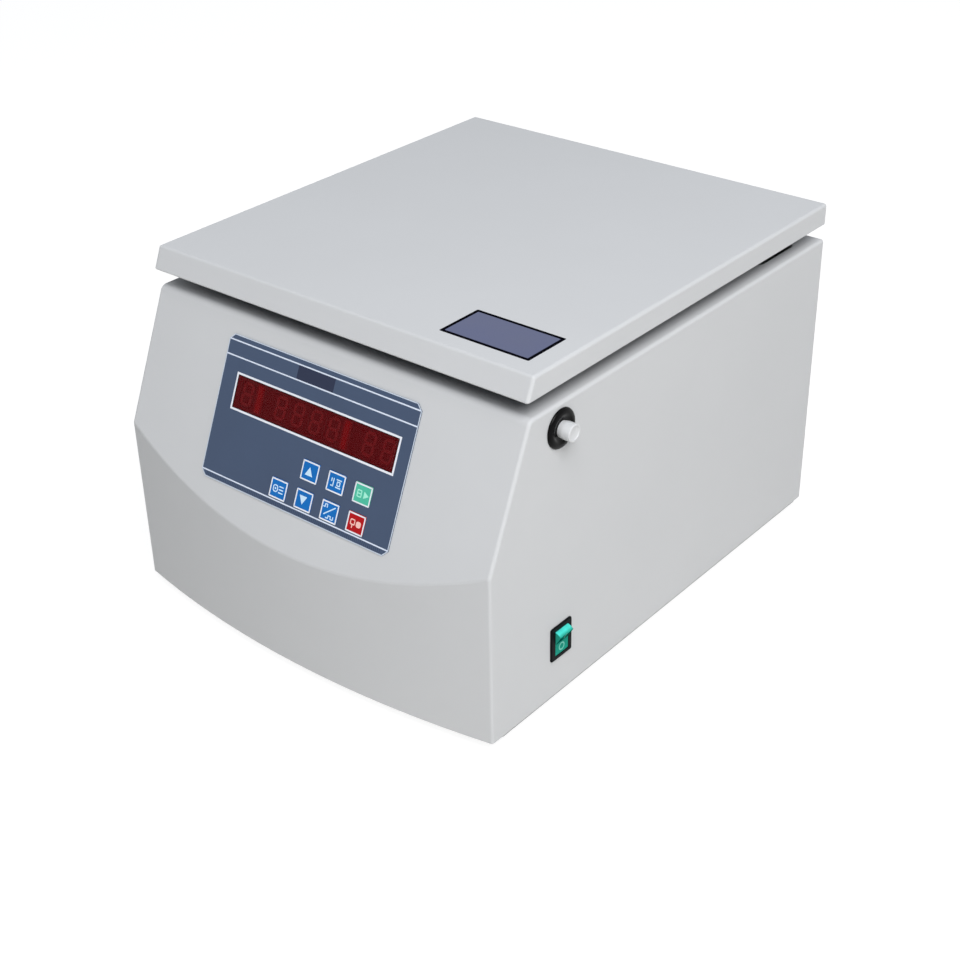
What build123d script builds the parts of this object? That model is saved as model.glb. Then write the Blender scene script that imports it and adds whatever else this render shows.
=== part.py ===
from build123d import *
from math import atan2, cos, radians, sin, sqrt
import os

# Low-speed bench centrifuge with a swing-out rotor, in millimetres.
# X runs to the right as seen from the front, Y runs to the back and Z runs up.
# Pieces are drawn from the middle of the two front corners, at the housing's bottom edge.
# They move to the centre of the footprint, on the bench, when they are written.

# Clearances
press_gap = 0.02        # a pressed or clamped fit
running_gap = 0.05      # a shaft in its bearing or an eye on its pin
moving_gap = 0.35       # pieces that move past each other
loose_gap = 0.6         # a part in its cut-out
overcut = 1.0           # how far a cutter runs past the faces that it cuts

# Screws
screw_radius = 1.9
screw_head_radius = 3.6
screw_head_height = 2.2
screw_play = 0.3        # a clearance hole, more than the shank

# Housing
body_width = 433.0
body_depth = 514.0
body_height = 290.0
knee_height = 169.3     # where the slanted face starts, at the side walls
face_setback = 53.0     # top front edge, behind the front corners
front_bulge = 22.5      # bow of the lower front at mid-width
wall = 2.0
flange = 14.0           # inward flanges that take the base pan and the rear panel
flange_line = 5.0       # screws on a flange, from its inner edge
edge_radius = 3.0
knee_radius = 5.0
brow_radius = 8.0       # between the slanted face and the deck
hem_radius = 1.0        # bottom edges

# Base pan, rear panel and feet
pan_thickness = 2.0
pan_inset = 1.5
pan_front = 9.0
pan_screw_end = 40.0    # first and last screws, from the housing's front and back
pan_slot = (46.0, 6.0)
pan_slot_pitch = 14.0
pan_slot_side = 30.0
rear_thickness = 1.5
rear_inset = 5.0
rear_screw_end = 60.0
rear_slot = (56.0, 4.0)
rear_slot_pitch = 12.0
rear_slot_side = 46.0
rear_slot_low = 10.0    # lowest slot, above mid-height
foot_height = 10.0
foot_top_radius = 18.0
foot_radius = 15.5
foot_band = 2.0
foot_seat = 3.0         # screw seat, below the pan
foot_seat_radius = 6.0
foot_screw_head = 5.0
foot_inset = 50.0       # foot centre from the side walls
foot_front = 70.0
foot_back = 64.0        # foot centre from the back

# Lid
lid_gap = 16.4          # between deck and lid
lid_thickness = 21.0
lid_overhang = 1.0      # past each side wall
lid_front = 57.0        # top edge of the lid's slanted front
lid_back_inset = 2.4    # from the housing's back
lid_wall = 2.0
lid_bottom_radius = 1.2
liner_thickness = 2.0
foot_plate = 3.0        # the plates that screw to the lid from below

# Lid hinges
pivot_inset = 34.0      # hinge axis in front of the housing's back
pivot_drop = 36.0       # hinge axis below the deck's top
pin_radius = 4.0
pin_head = 2.0          # the head's step and thickness
pin_clip = 1.4
pin_end = 3.0
eye_wall = 8.0
eye_length = 12.5
arm_reach = 55.0        # front of the upright leg, before the hinge axis
arm_leg = 16.0
arm_beam = 18.0
arm_thickness = 8.0
arm_inset = 27.0        # inner side of the arm, from the side wall's outside
arm_bend = 8.0
arm_heel = 10.0
arm_plate_length = 54.0
arm_screws = (8.0, 28.0)
slot_width = 22.0
slot_front = 58.0       # deck slot, in front of the hinge axis
slot_back = 3.0         # deck slot, behind the hinge axis
slot_outer = 15.0       # deck slot's outer edge, from the side wall's outside
slot_corner = 5.0
bracket_thickness = 3.0
bracket_clear = 2.0     # round the arm's eye
cheek_outer_gap = 1.0   # outer cheek, past the slot's edge
cheek_inner_gap = 5.0   # inner cheek, past the slot's other edge
spring_length = 11.0
spring_radius = 9.0
spring_play = 1.0
spring_side_gap = 0.4

# Lid latch
latch_front = 19.9      # latch axis in front of the bowl's rim
latch_drop = 23.2       # latch axis below the deck's top
bolt_radius = 4.0
bolt_tip = 8.0          # the bolt's tip, past the striker's middle
bolt_nose = 2.4
bolt_travel = 11.0
bolt_collar = 7.0
bolt_collar_width = 3.0
coil_pressed = 15.6     # the latch spring's length when the bolt is drawn back
coil_gap = 0.2
coil_wire = 2.2
guide_start = 8.0       # inner guide plate, from mid-width
guide_thickness = 3.0
guide_half = 10.0
guide_below = 9.0
rod_radius = 3.0
rod_socket = 9.0
striker_thickness = 3.0
striker_width = 14.0
striker_below = 14.0    # below the latch axis
striker_tip = 3.5
striker_window = 0.7    # round the bolt
striker_foot = (40.0, 16.0)
striker_screw = 14.0
sensor_size = (22.0, 16.0, 12.0)
sensor_end = -10.0
sensor_wall = 4.0

# Release knob
knob_radius = 8.0
knob_reach = 14.5       # knob's end, from the side wall
knob_bore = 5.6
knob_bore_depth = 7.0
knob_floor = 2.0
knob_taper = 5.0
bezel_radius = 18.0
bezel_height = 3.2
bezel_floor = 1.1
bezel_rim = 1.6         # slope outside the rim
bezel_ridge = 2.0
bezel_dish = 3.4
bezel_neck = 6.4
bezel_neck_length = 8.0
bezel_nut = 10.0
bezel_nut_height = 3.0

# Rotor
chamber_y = 298.0
pin_drop = 41.0         # trunnion height below the deck's top
trunnion_radius = 83.0  # trunnion axis from the shaft
trunnion_pin = 5.0
trunnion_press = 12.0   # pin length held in the yoke
yoke_lobe = 24.0        # yoke's edge, outside the trunnion axis
yoke_thickness = 16.0
yoke_edge = 2.5
slot_clear = 10.0       # bucket slot, round the bucket
slot_radius = 11.0
lobe_pocket = 15.0
lobe_pocket_depth = 4.0
lobe_pocket_place = 76.0
hub_radius = 27.0
hub_flare = 6.0
hub_drop = 15.0
boss_height = 5.0
boss_taper = 2.0
cone_radius = 9.0
cone_tip_radius = 7.0
thread_radius = 6.0
nut_radius = 18.0
nut_height = 18.0
nut_edge = 2.0
nut_crown = 4.0
nut_flutes = 8
flute_radius = 3.4
flute_depth = 1.8

# Buckets
bucket_radius = 26.0
bucket_wall = 2.0
bucket_floor = 3.0
bucket_rim = 12.0       # above the trunnion axis
bucket_length = 66.0    # below the trunnion axis
bucket_corner = 7.0
bucket_inner_corner = 5.0
bucket_lip = 0.7
band_thickness = 1.5
band_slope = 2.0
ear_wall = 4.0
ear_corner = 5.0
ear_play = 0.4          # between the band and the pin's seat

# Chamber and seal
swing_gap = 21.0        # from a swung-out bucket to the bowl
bowl_wall = 1.2
bowl_depth = 148.0
bowl_corner = 16.0
bowl_mouth = 46.0       # hole in the floor, for the shaft boot
rim_width = 16.0
rim_slope = 1.2
seal_width = 13.0
seal_base = 3.0
seal_shoulder = 2.0
seal_lip = 4.0
boot_wall = 2.2
boot_foot = 6.0
boot_folds = 3
boot_fold_depth = 4.0
boot_collar = 5.0
boot_below_neck = 4.0

# Motor
motor_radius = 60.0
motor_wall = 7.0
motor_flange = 70.0
motor_flange_height = 5.0
motor_height = 84.0
motor_cap = 10.0
motor_floor = 12.0
motor_shoulder = 8.0
bearing_radius = 17.5
bearing_width = 11.0
bearing_seat = 3.0      # lower bearing, above the motor's base
bearing_rise = 2.0      # upper bearing, above the motor's top
race = 3.0
shield_depth = 0.8
shaft_radius = 7.5
shaft_play = 2.0
spindle_radius = 10.0
spindle_play = 1.5
neck_radius = 17.0
neck_rise = 30.0        # above the chamber's floor
fin_count = 16
fin_thickness = 2.5
fin_depth = 5.0
stator_inner = 31.0
stator_low = 20.0
stator_high = 18.0
winding_height = 8.0
winding_inset = 3.0
magnet_gap = 0.6
magnet_inset = 4.0
plate_size = 190.0
plate_thickness = 4.0
plate_corner = 24.0
plate_hole = 14.0
damper_height = 28.0
damper_radius = 14.0
damper_waist = 3.5
damper_band = 4.0
damper_spread = 75.0

# Control face
overlay_left = -115.6
overlay_right = 112.0
overlay_bottom = -19.5
overlay_top = 113.7
overlay_cut = 5.5
overlay_thickness = 0.8
window_width = 193.8
window_height = 32.6
window_centre = (0.6, 65.0)
window_ledge = 4.0
digit_pitch = 21.7
digit_starts = ((-82.6, 1), (-42.9, 4), (62.7, 2))
digit_size = (20.8, 27.0)
digit_depth = 8.0
digit_gap = 2.0         # behind the wall
board_thickness = 1.6
board_margin = 6.0
spacer_radius = 2.5
spacer_inset = 3.0
key_width = 19.5
key_height = 17.5
key_corner = 0.9
key_proud = 0.4
key_flange = 1.0
key_lip = 1.0
key_travel = 0.5
key_switch = 6.0
key_first = (-20.4, -2.6)
key_pitch = (30.8, 26.0)
key_board_gap = 6.0     # behind the wall
key_board_side = 11.0
key_board_end = 8.0
chip_size = (22.0, 12.0, 4.0)
chip_place = (-8.0, 4.0)
key_grid = {
    "key_set": (0, 0),
    "key_down": (1, 0),
    "key_pulse": (2, 0),
    "key_stop": (3, 0),
    "key_up": (1, 1),
    "key_select": (2, 1),
    "key_start": (3, 1),
}

# Power switch, on the right side
switch_y = 94.1
switch_z = 56.7
frame_width = 29.0
frame_tall = 34.5
frame_proud = 2.0
frame_corner = 2.0
frame_edge = 0.8
rocker_width = 18.0
rocker_radius = 13.0
rocker_tilt = 15.0      # degrees each way from level
rocker_apex = 3.6
rocker_sunk = 0.2       # apex, below the frame's face
rocker_heel = 5.0
rocker_pin = 1.5
rocker_pin_end = 1.3
case_wall = 1.4
switch_depth = 20.0
switch_cavity = 11.0
tab_size = (6.3, 0.8)
tab_length = 8.0
tab_pitch = 8.0

# Power inlet, on the rear panel
inlet_x = 150.0
inlet_z = 62.0
inlet_width = 31.0
inlet_tall = 50.0
inlet_flange = 2.5
inlet_corner = 2.0
inlet_step = 2.0
inlet_depth = 24.0
socket_width = 24.4
socket_tall = 16.6
socket_depth = 16.0
socket_low = 5.0        # socket, above the inlet's lower edge
socket_cut = 4.0
pin_size = (2.0, 4.0)
pin_side = 7.0
pin_rise = 2.0
pin_sunk = 1.0
drawer_width = 24.0
drawer_tall = 12.0
drawer_high = 4.0       # drawer, below the inlet's upper edge
drawer_reach = 18.0
fuse_bay = (18.0, 5.6)
fuse_bay_front = 4.0
finger_slot = (10.0, 2.4)
finger_depth = 2.0

# Drive electronics, on the base pan
drive_inset = 22.0      # from the left side wall
drive_front = 90.0
drive_size = (82.0, 155.0)
pillar_height = 10.0
pillar_radius = 3.0
pillar_inset = 5.0
capacitor_radius = 11.0
capacitor_height = 35.0
capacitor_pitch = 26.0
capacitor_first = (16.0, 22.0)
transformer_place = (54.0, 32.0)
transformer_size = (36.0, 36.0, 28.0)
filter_place = (17.0, 116.0)
filter_size = (14.0, 42.0, 16.0)
relay_place = (53.0, 98.0)
relay_size = (26.0, 26.0, 12.0)
sink_y = 325.0
sink_size = (70.0, 80.0, 40.0)
sink_base = 6.0
sink_fins = 8
sink_fin = 2.5

# Planes and heights that follow from the sizes
half_width = body_width / 2
face_angle = atan2(face_setback, body_height - knee_height)
control_face = Plane(
    origin=(0, 0, knee_height),
    x_dir=(1, 0, 0),
    z_dir=(0, -cos(face_angle), sin(face_angle)),
)
right_side = Plane(origin=(half_width, 0, 0), x_dir=(0, 1, 0), z_dir=(1, 0, 0))
rear_face = Plane(origin=(0, body_depth + rear_thickness, 0), x_dir=(-1, 0, 0), z_dir=(0, 1, 0))
front_radius = (half_width**2 + front_bulge**2) / (2 * front_bulge)
front_centre = front_radius - front_bulge
deck_under = body_height - wall
lid_bottom = body_height + lid_gap
lid_top = lid_bottom + lid_thickness
lid_back = body_depth - lid_back_inset
lid_half = half_width + lid_overhang
plate_low = lid_bottom - foot_plate
pivot_y = body_depth - pivot_inset
pivot_z = body_height - pivot_drop
arm_eye = pin_radius + eye_wall
arm_front = pivot_y - arm_reach
arm_x = half_width - arm_inset
cheek_outer = half_width - slot_outer + cheek_outer_gap
cheek_inner = half_width - slot_outer - slot_width - cheek_inner_gap
bowl_radius = trunnion_radius + bucket_length + swing_gap
bowl_rim = bowl_radius + rim_width
bowl_floor = body_height - bowl_depth
latch_y = chamber_y - bowl_rim - latch_front
latch_z = body_height - latch_drop
collar_start = guide_start + guide_thickness + spring_side_gap
coil_start = collar_start + bolt_collar_width + coil_gap
guide_inner = coil_start - coil_gap + bolt_travel + coil_pressed
guide_end = guide_inner + guide_thickness
trunnion_z = body_height - pin_drop
yoke_radius = trunnion_radius + yoke_lobe
yoke_slot = bucket_radius + slot_clear
yoke_slot_start = trunnion_radius - bucket_radius - slot_clear
yoke_half = yoke_thickness / 2
hub_low = trunnion_z - yoke_half - hub_drop
boss_top = trunnion_z + yoke_half + boss_height
motor_base = damper_height + plate_thickness
motor_top = motor_base + motor_height
neck_top = bowl_floor + neck_rise
case_y = rocker_width + 2 * (moving_gap + case_wall)
case_z = 2 * (rocker_radius + moving_gap + case_wall)
rocker_x = half_width + frame_proud - rocker_apex - rocker_sunk
socket_z = inlet_z - inlet_tall / 2 + socket_low + socket_tall / 2
drawer_z = inlet_z + inlet_tall / 2 - drawer_high - drawer_tall / 2
quarter_turns = (0, 90, 180, 270)

# The origin is the centre of the footprint, on the bench
origin_x = (half_width + knob_reach - lid_half) / 2
origin_y = (body_depth + rear_thickness + inlet_flange - front_bulge) / 2
origin_z = -pan_thickness - foot_height


def block(x, y, z):
    """A box between two values on each axis."""
    centre = Pos((x[0] + x[1]) / 2, (y[0] + y[1]) / 2, (z[0] + z[1]) / 2)
    return centre * Box(x[1] - x[0], y[1] - y[0], z[1] - z[0])


def turned(*points):
    """A piece turned about the Z axis, from points of radius and height."""
    return revolve(Plane.XZ * Polygon(*points), Axis.Z)


def post(radius, x, y, z):
    """An upright round bar at x and y, between two heights."""
    return Pos(x, y, (z[0] + z[1]) / 2) * Cylinder(radius, z[1] - z[0])


def bar(radius, x, y, z):
    """A round bar along X, between two values of x."""
    return Pos((x[0] + x[1]) / 2, y, z) * Rot(0, 90, 0) * Cylinder(radius, x[1] - x[0])


def drawn(plane, sketch, low, high):
    """A sketch on a plane, extruded between two heights over that plane."""
    return plane * Pos(0, 0, low) * extrude(sketch, high - low)


def mirrored(piece):
    """The same piece on the other side of the machine."""
    return mirror(piece, about=Plane.YZ)


def corners(width, height):
    """The four corners of a rectangle round the origin."""
    return [(sx * width / 2, sy * height / 2) for sx in (-1, 1) for sy in (-1, 1)]


# Housing, base and rear


def housing_form(inset):
    """The housing's outer form, made smaller by inset on every side."""
    half = half_width - inset
    radius = front_radius - inset
    corner = front_centre - sqrt(radius**2 - half**2)
    back = body_depth - inset
    sides = Polyline((half, corner), (half, back), (-half, back), (-half, corner))
    front = ThreePointArc((-half, corner), (0, front_centre - radius), (half, corner))
    plan = make_face(sides + front)
    form = Pos(0, 0, inset) * extrude(plan, body_height - 2 * inset)
    above_face = Box(2 * body_width, 2 * body_height, body_depth)
    return form - control_face * Pos(0, 0, body_depth / 2 - inset) * above_face


def key_centre(column, row):
    """Where a key sits on the control face."""
    return key_first[0] + column * key_pitch[0], key_first[1] + row * key_pitch[1]


def key_openings():
    """The keys' openings, as sketches on the control face."""
    size = (key_width + 2 * moving_gap, key_height + 2 * moving_gap)
    opening = RectangleRounded(*size, key_corner + moving_gap)
    return [Pos(*key_centre(*place)) * opening for place in key_grid.values()]


def rear_screw_places():
    """The rear panel's screws, as x and z."""
    side = half_width - flange + flange_line
    low = flange - flange_line
    high = body_height - low
    places = []
    for s in (-1, 1):
        places += [(s * side, z) for z in (rear_screw_end, body_height / 2, body_height - rear_screw_end)]
        places += [(s * side / 2, z) for z in (low, high)]
    return places


def pan_screw_places():
    """The base pan's screws, as x and y."""
    side = half_width - flange + flange_line
    levels = (pan_screw_end, body_depth / 3, body_depth * 2 / 3, body_depth - pan_screw_end)
    return [(s * side, y) for s in (-1, 1) for y in levels]


def foot_places():
    """The feet, as x and y."""
    side = half_width - foot_inset
    return [(s * side, y) for s in (-1, 1) for y in (foot_front, body_depth - foot_back)]


def housing_shell():
    """Front, control face, sides and deck in one shell, with flanges at the back and bottom."""
    form = housing_form(0)
    form = fillet(form.edges().filter_by(GeomType.ELLIPSE), knee_radius)
    brow = form.edges().filter_by(Axis.X).group_by(Axis.Y)[0]
    form = fillet(brow, brow_radius)
    sharp = form.edges().filter_by(GeomType.LINE) + form.edges().filter_by(GeomType.CIRCLE)
    smooth = form.edges().filter_by(Axis.X).group_by(Axis.Y)[:-1]
    sharp = [edge for edge in sharp if edge.center().Z > hem_radius]
    sharp = [edge for edge in sharp if not any(edge in group for group in smooth)]
    form = fillet(sharp, edge_radius)
    shell = fillet(form.edges().group_by(Axis.Z)[0], hem_radius) - housing_form(wall)
    across = (flange - half_width, half_width - flange)
    shell -= block(across, (body_depth - 2 * wall, body_depth + overcut), (flange, body_height - flange))
    shell -= block(across, (flange, body_depth - flange), (-overcut, 2 * wall))
    through_deck = (deck_under - overcut, body_height + overcut)
    shell -= post(bowl_radius + bowl_wall + loose_gap, 0, chamber_y, through_deck)
    arm_slot = RectangleRounded(slot_width, slot_front + slot_back, slot_corner)
    slot_y = pivot_y - (slot_front - slot_back) / 2
    slot_x = half_width - slot_outer - slot_width / 2
    striker_slot = RectangleRounded(3 * striker_thickness, striker_width + 10, striker_thickness)
    slots = [Pos(side * slot_x, slot_y) * arm_slot for side in (-1, 1)] + [Pos(0, latch_y + 3) * striker_slot]
    for slot in slots:
        shell -= drawn(Plane.XY, slot, *through_deck)
    window = Rectangle(window_width - 2 * window_ledge, window_height - window_ledge)
    for opening in [Pos(*window_centre) * window] + key_openings():
        shell -= drawn(control_face, opening, -wall - overcut, overcut)
    knob_hole = Pos(latch_y, latch_z) * Circle(bezel_neck + loose_gap)
    switch_hole = Pos(switch_y, switch_z) * Rectangle(case_y + loose_gap, case_z + loose_gap)
    for hole in (knob_hole, switch_hole):
        shell -= drawn(right_side, hole, -wall - overcut, overcut)
    for x, z in rear_screw_places():
        hole = Pos(-x, z) * Circle(screw_radius + press_gap)
        shell -= drawn(rear_face, hole, -3 * wall, 0)
    for x, y in pan_screw_places():
        shell -= post(screw_radius + press_gap, x, y, (-overcut, wall + overcut))
    return shell


def base_pan():
    """The flat pan that closes the bottom, with air slots under the motor and seats for the feet."""
    length = body_depth - pan_front - pan_inset - edge_radius
    outline = RectangleRounded(body_width - 2 * pan_inset, length, 8)
    sheet = Pos(0, pan_front + length / 2) * outline
    slot = SlotOverall(*pan_slot)
    for row in (-2, -1, 0, 1, 2):
        for side in (-1, 1):
            sheet -= Pos(side * pan_slot_side, chamber_y + row * pan_slot_pitch) * slot
    for x, y in pan_screw_places() + foot_places():
        sheet -= Pos(x, y) * Circle(screw_radius + screw_play)
    return drawn(Plane.XY, sheet, -pan_thickness, 0)


def rubber_feet():
    """Four tapered feet, each with a sunk seat for its screw."""
    top = -pan_thickness
    hole = screw_radius + screw_play
    foot = turned(
        (hole, top),
        (foot_top_radius, top),
        (foot_top_radius, top - foot_band),
        (foot_radius, top - foot_height),
        (foot_seat_radius, top - foot_height),
        (foot_seat_radius, top - foot_seat),
        (hole, top - foot_seat),
    )
    return Compound([Pos(x, y, 0) * foot.solid() for x, y in foot_places()])


def screw(length, head_radius=screw_head_radius):
    """A pan-head screw along Z, with its head on the plane z = 0 and its shank below."""
    crown = head_radius * 0.7
    return turned(
        (0, -length),
        (screw_radius, -length),
        (screw_radius, 0),
        (head_radius, 0),
        (head_radius, screw_head_height * 0.6),
        (crown, screw_head_height),
        (0, screw_head_height),
    ).solid()


def base_screws():
    """The screws that hold the base pan, and those that hold the feet."""
    under = Rot(180, 0, 0)
    pan_screw = under * screw(pan_thickness + 2 * wall)
    foot_screw = under * screw(foot_seat + pan_thickness + 1.5 * wall, foot_screw_head)
    pan = [Pos(x, y, -pan_thickness) * pan_screw for x, y in pan_screw_places()]
    feet = [Pos(x, y, -pan_thickness - foot_seat) * foot_screw for x, y in foot_places()]
    return Compound(pan + feet)


def rear_screws():
    """The screws round the rear panel."""
    one = screw(rear_thickness + 2 * wall)
    return Compound([rear_face * Pos(-x, z, 0) * one for x, z in rear_screw_places()])


def rear_panel():
    """A flat sheet on the rear flanges, with two banks of air slots and the inlet's cut-out."""
    sheet = Pos(0, body_height / 2) * RectangleRounded(
        body_width - 2 * rear_inset, body_height - 2 * rear_inset, rear_inset
    )
    slot = SlotOverall(*rear_slot)
    for row in range(8):
        height = body_height / 2 + rear_slot_low + row * rear_slot_pitch
        for side in (-1, 1):
            sheet -= Pos(side * rear_slot_side, height) * slot
    body = Rectangle(inlet_width - 2 * inlet_step + loose_gap, inlet_tall - 2 * inlet_step + loose_gap)
    sheet -= Pos(-inlet_x, inlet_z) * body
    for x, z in rear_screw_places():
        sheet -= Pos(-x, z) * Circle(screw_radius + screw_play)
    return drawn(rear_face, sheet, -rear_thickness, 0)


def power_inlet():
    """A panel inlet with a three-pin socket below and an opening for the fuse drawer above."""
    middle = Pos(-inlet_x, inlet_z)
    inlet = drawn(rear_face, middle * RectangleRounded(inlet_width, inlet_tall, inlet_corner), 0, inlet_flange)
    body = Rectangle(inlet_width - 2 * inlet_step, inlet_tall - 2 * inlet_step)
    inlet += drawn(rear_face, middle * body, -inlet_depth, 0)
    mouth = Rectangle(socket_width, socket_tall)
    mouth = chamfer(mouth.vertices().group_by(Axis.Y)[-1], socket_cut)
    bottom = inlet_flange - socket_depth
    inlet -= drawn(rear_face, Pos(-inlet_x, socket_z) * mouth, bottom, inlet_flange + overcut)
    for across, up in ((-pin_side, -pin_rise), (0, pin_rise), (pin_side, -pin_rise)):
        pin = Pos(-inlet_x + across, socket_z + up) * Rectangle(*pin_size)
        inlet += drawn(rear_face, pin, bottom, -pin_sunk)
    bay = Rectangle(drawer_width + 2 * press_gap, drawer_tall + 2 * press_gap)
    back = inlet_flange - drawer_reach
    return inlet - drawn(rear_face, Pos(-inlet_x, drawer_z) * bay, back, inlet_flange + overcut)


def fuse_drawer():
    """The fuse drawer in the inlet, with a finger slot."""
    place = Pos(-inlet_x, drawer_z)
    back = inlet_flange - drawer_reach
    drawer = drawn(rear_face, place * Rectangle(drawer_width, drawer_tall), back, inlet_flange)
    finger = place * Pos(0, (finger_slot[1] - drawer_tall) / 2) * Rectangle(*finger_slot)
    drawer -= drawn(rear_face, finger, inlet_flange - finger_depth, inlet_flange + overcut)
    bay = place * Pos(0, 1) * Rectangle(*fuse_bay)
    return drawer - drawn(rear_face, bay, back - overcut, inlet_flange - fuse_bay_front)


# Lid and its hinges


def lid_form(inset, low):
    """The lid's form, made smaller by inset at the top and sides, from a height up."""
    slope = face_setback / (body_height - knee_height)
    front_low = lid_front - slope * (lid_top - low) + inset
    front_high = lid_front - slope * inset + inset
    back = lid_back - inset
    high = lid_top - inset
    profile = Plane.YZ * Polygon((front_low, low), (back, low), (back, high), (front_high, high))
    return extrude(profile, lid_half - inset, both=True)


def lid_shell():
    """The lid's pressed cover, open below, with a slanted front edge."""
    form = lid_form(0, lid_bottom)
    low = form.edges().group_by(Axis.Z)[0]
    form = fillet(form.edges() - low, edge_radius)
    form = fillet(form.edges().group_by(Axis.Z)[0], lid_bottom_radius)
    return form - lid_form(lid_wall, lid_bottom - overcut)


def lid_screw_places():
    """The screws of both hinge arms and of the striker, as x and y."""
    arms = [(s * (arm_x + arm_thickness / 2), arm_front - y) for s in (-1, 1) for y in arm_screws]
    return arms + [(s * striker_screw, latch_y) for s in (-1, 1)]


def lid_screw_holes():
    """Holes for the lid's screws, through the foot plates and the liner."""
    heights = (plate_low - overcut, lid_bottom + liner_thickness + overcut)
    return [post(screw_radius + press_gap, x, y, heights) for x, y in lid_screw_places()]


def lid_liner():
    """The flat inner plate of the lid, level with its bottom edge."""
    plate = lid_form(lid_wall + press_gap, lid_bottom)
    sheet = block((-lid_half, lid_half), (0, body_depth), (lid_bottom, lid_bottom + liner_thickness))
    return (plate & sheet) - lid_screw_holes()


def lid_screws():
    """The screws that hold the hinge arms and the striker to the lid, from below."""
    one = Rot(180, 0, 0) * screw(foot_plate + liner_thickness + loose_gap)
    return Compound([Pos(x, y, plate_low) * one for x, y in lid_screw_places()])


def hinge_arm():
    """The right goose-neck arm: an eye on the pin, a leg up through the deck and a foot under the lid."""
    low = pivot_z - arm_beam / 2
    leg_back = arm_front + arm_leg
    outline = Polygon(
        (arm_front, low),
        (pivot_y, low),
        (pivot_y, low + arm_beam),
        (leg_back, low + arm_beam),
        (leg_back, plate_low),
        (arm_front, plate_low),
    )
    bend = outline.vertices().sort_by_distance((leg_back, low + arm_beam, 0))[0]
    outline = fillet(bend, arm_bend)
    heel = outline.vertices().sort_by_distance((arm_front, low, 0))[0]
    outline = fillet(heel, arm_heel)
    arm = Pos(arm_x, 0, 0) * extrude(Plane.YZ * outline, arm_thickness)
    arm += bar(arm_eye, (arm_x, arm_x + eye_length), pivot_y, pivot_z)
    arm -= bar(pin_radius + running_gap, (arm_x - overcut, arm_x + eye_length + overcut), pivot_y, pivot_z)
    foot = RectangleRounded(2 * arm_thickness, arm_plate_length, bracket_thickness)
    foot_place = Pos(arm_x + arm_thickness / 2, leg_back - arm_plate_length / 2)
    arm += drawn(Plane.XY, foot_place * foot, plate_low, lid_bottom)
    return arm - lid_screw_holes()


def hinge_bracket():
    """The right bracket: two cheeks and a web that hang from the deck and carry the pin."""
    front = pivot_y - arm_eye - cheek_outer_gap
    back = pivot_y + arm_eye + bracket_clear + bracket_thickness
    step = pivot_y + slot_back + bracket_clear
    low = pivot_z - arm_eye - bracket_clear
    cheek = Plane.YZ * Polygon(
        (front, low),
        (back, low),
        (back, deck_under),
        (step, deck_under),
        (front, pivot_z + arm_eye + cheek_outer_gap),
    )
    across = (cheek_inner - bracket_thickness, cheek_outer + bracket_thickness)
    bracket = Pos(across[0], 0, 0) * extrude(cheek, bracket_thickness)
    bracket += Pos(cheek_outer, 0, 0) * extrude(cheek, bracket_thickness)
    bracket += block(across, (back - bracket_thickness, back), (low, deck_under))
    bracket += block(across, (step, back), (deck_under - bracket_thickness, deck_under))
    past = (across[0] - overcut, across[1] + overcut)
    return bracket - bar(pin_radius + press_gap, past, pivot_y, pivot_z)


def hinge_pin():
    """The right pin, with a head at one end and a clip at the other."""
    inner = cheek_inner - bracket_thickness
    outer = cheek_outer + bracket_thickness
    pin = bar(pin_radius, (inner - pin_end, outer + pin_end), pivot_y, pivot_z)
    pin += bar(pin_radius + pin_head, (outer, outer + pin_head), pivot_y, pivot_z)
    return pin + bar(pin_radius + pin_head, (inner - pin_clip, inner), pivot_y, pivot_z)


def hinge_spring():
    """The right torsion spring round the pin, as its coil's outer form."""
    end = arm_x - spring_side_gap
    start = end - spring_length
    coil = bar(spring_radius, (start, end), pivot_y, pivot_z)
    return coil - bar(pin_radius + spring_play, (start - overcut, end + overcut), pivot_y, pivot_z)


# Lid latch


def lid_striker():
    """The striker under the lid's front: a foot, and a plate with a window for the bolt."""
    low = latch_z - striker_below
    plate = Pos(latch_y, (low + plate_low) / 2) * Rectangle(striker_width, plate_low - low)
    plate = chamfer(plate.vertices().group_by(Axis.Y)[0], striker_tip)
    opening = 2 * (bolt_radius + striker_window)
    plate -= Pos(latch_y, latch_z) * RectangleRounded(opening, opening, 2 * striker_window)
    striker = extrude(Plane.YZ * plate, striker_thickness / 2, both=True)
    striker += drawn(Plane.XY, Pos(0, latch_y) * Rectangle(*striker_foot), plate_low, lid_bottom)
    return striker - lid_screw_holes()


def latch_bracket():
    """The latch's guide under the deck: two plates with bores for the bolt."""
    y = (latch_y - guide_half, latch_y + guide_half)
    z = (latch_z - guide_below, deck_under)
    bracket = block((guide_start, guide_start + guide_thickness), y, z)
    bracket += block((guide_inner, guide_end), y, z)
    bracket += block((guide_start, guide_end), y, (deck_under - guide_thickness, deck_under))
    past = (guide_start - overcut, guide_end + overcut)
    return bracket - bar(bolt_radius + running_gap, past, latch_y, latch_z)


def latch_bolt():
    """The round bolt with a sloped nose, a collar for its spring and a socket for the rod."""
    bolt = bar(bolt_radius, (-bolt_tip, guide_end), latch_y, latch_z)
    bolt = chamfer(bolt.edges().group_by(Axis.X)[0], bolt_nose)
    bolt += bar(bolt_collar, (collar_start, collar_start + bolt_collar_width), latch_y, latch_z)
    return bolt - bar(rod_radius + press_gap, (guide_end - rod_socket, guide_end + overcut), latch_y, latch_z)


def latch_spring():
    """The spring between the collar and the outer plate, as its coil's outer form."""
    inner = bolt_radius + 2 * spring_side_gap
    end = guide_inner - coil_gap
    coil = bar(inner + coil_wire / 2, (coil_start, end), latch_y, latch_z)
    return coil - bar(inner, (coil_start - overcut, end + overcut), latch_y, latch_z)


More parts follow.
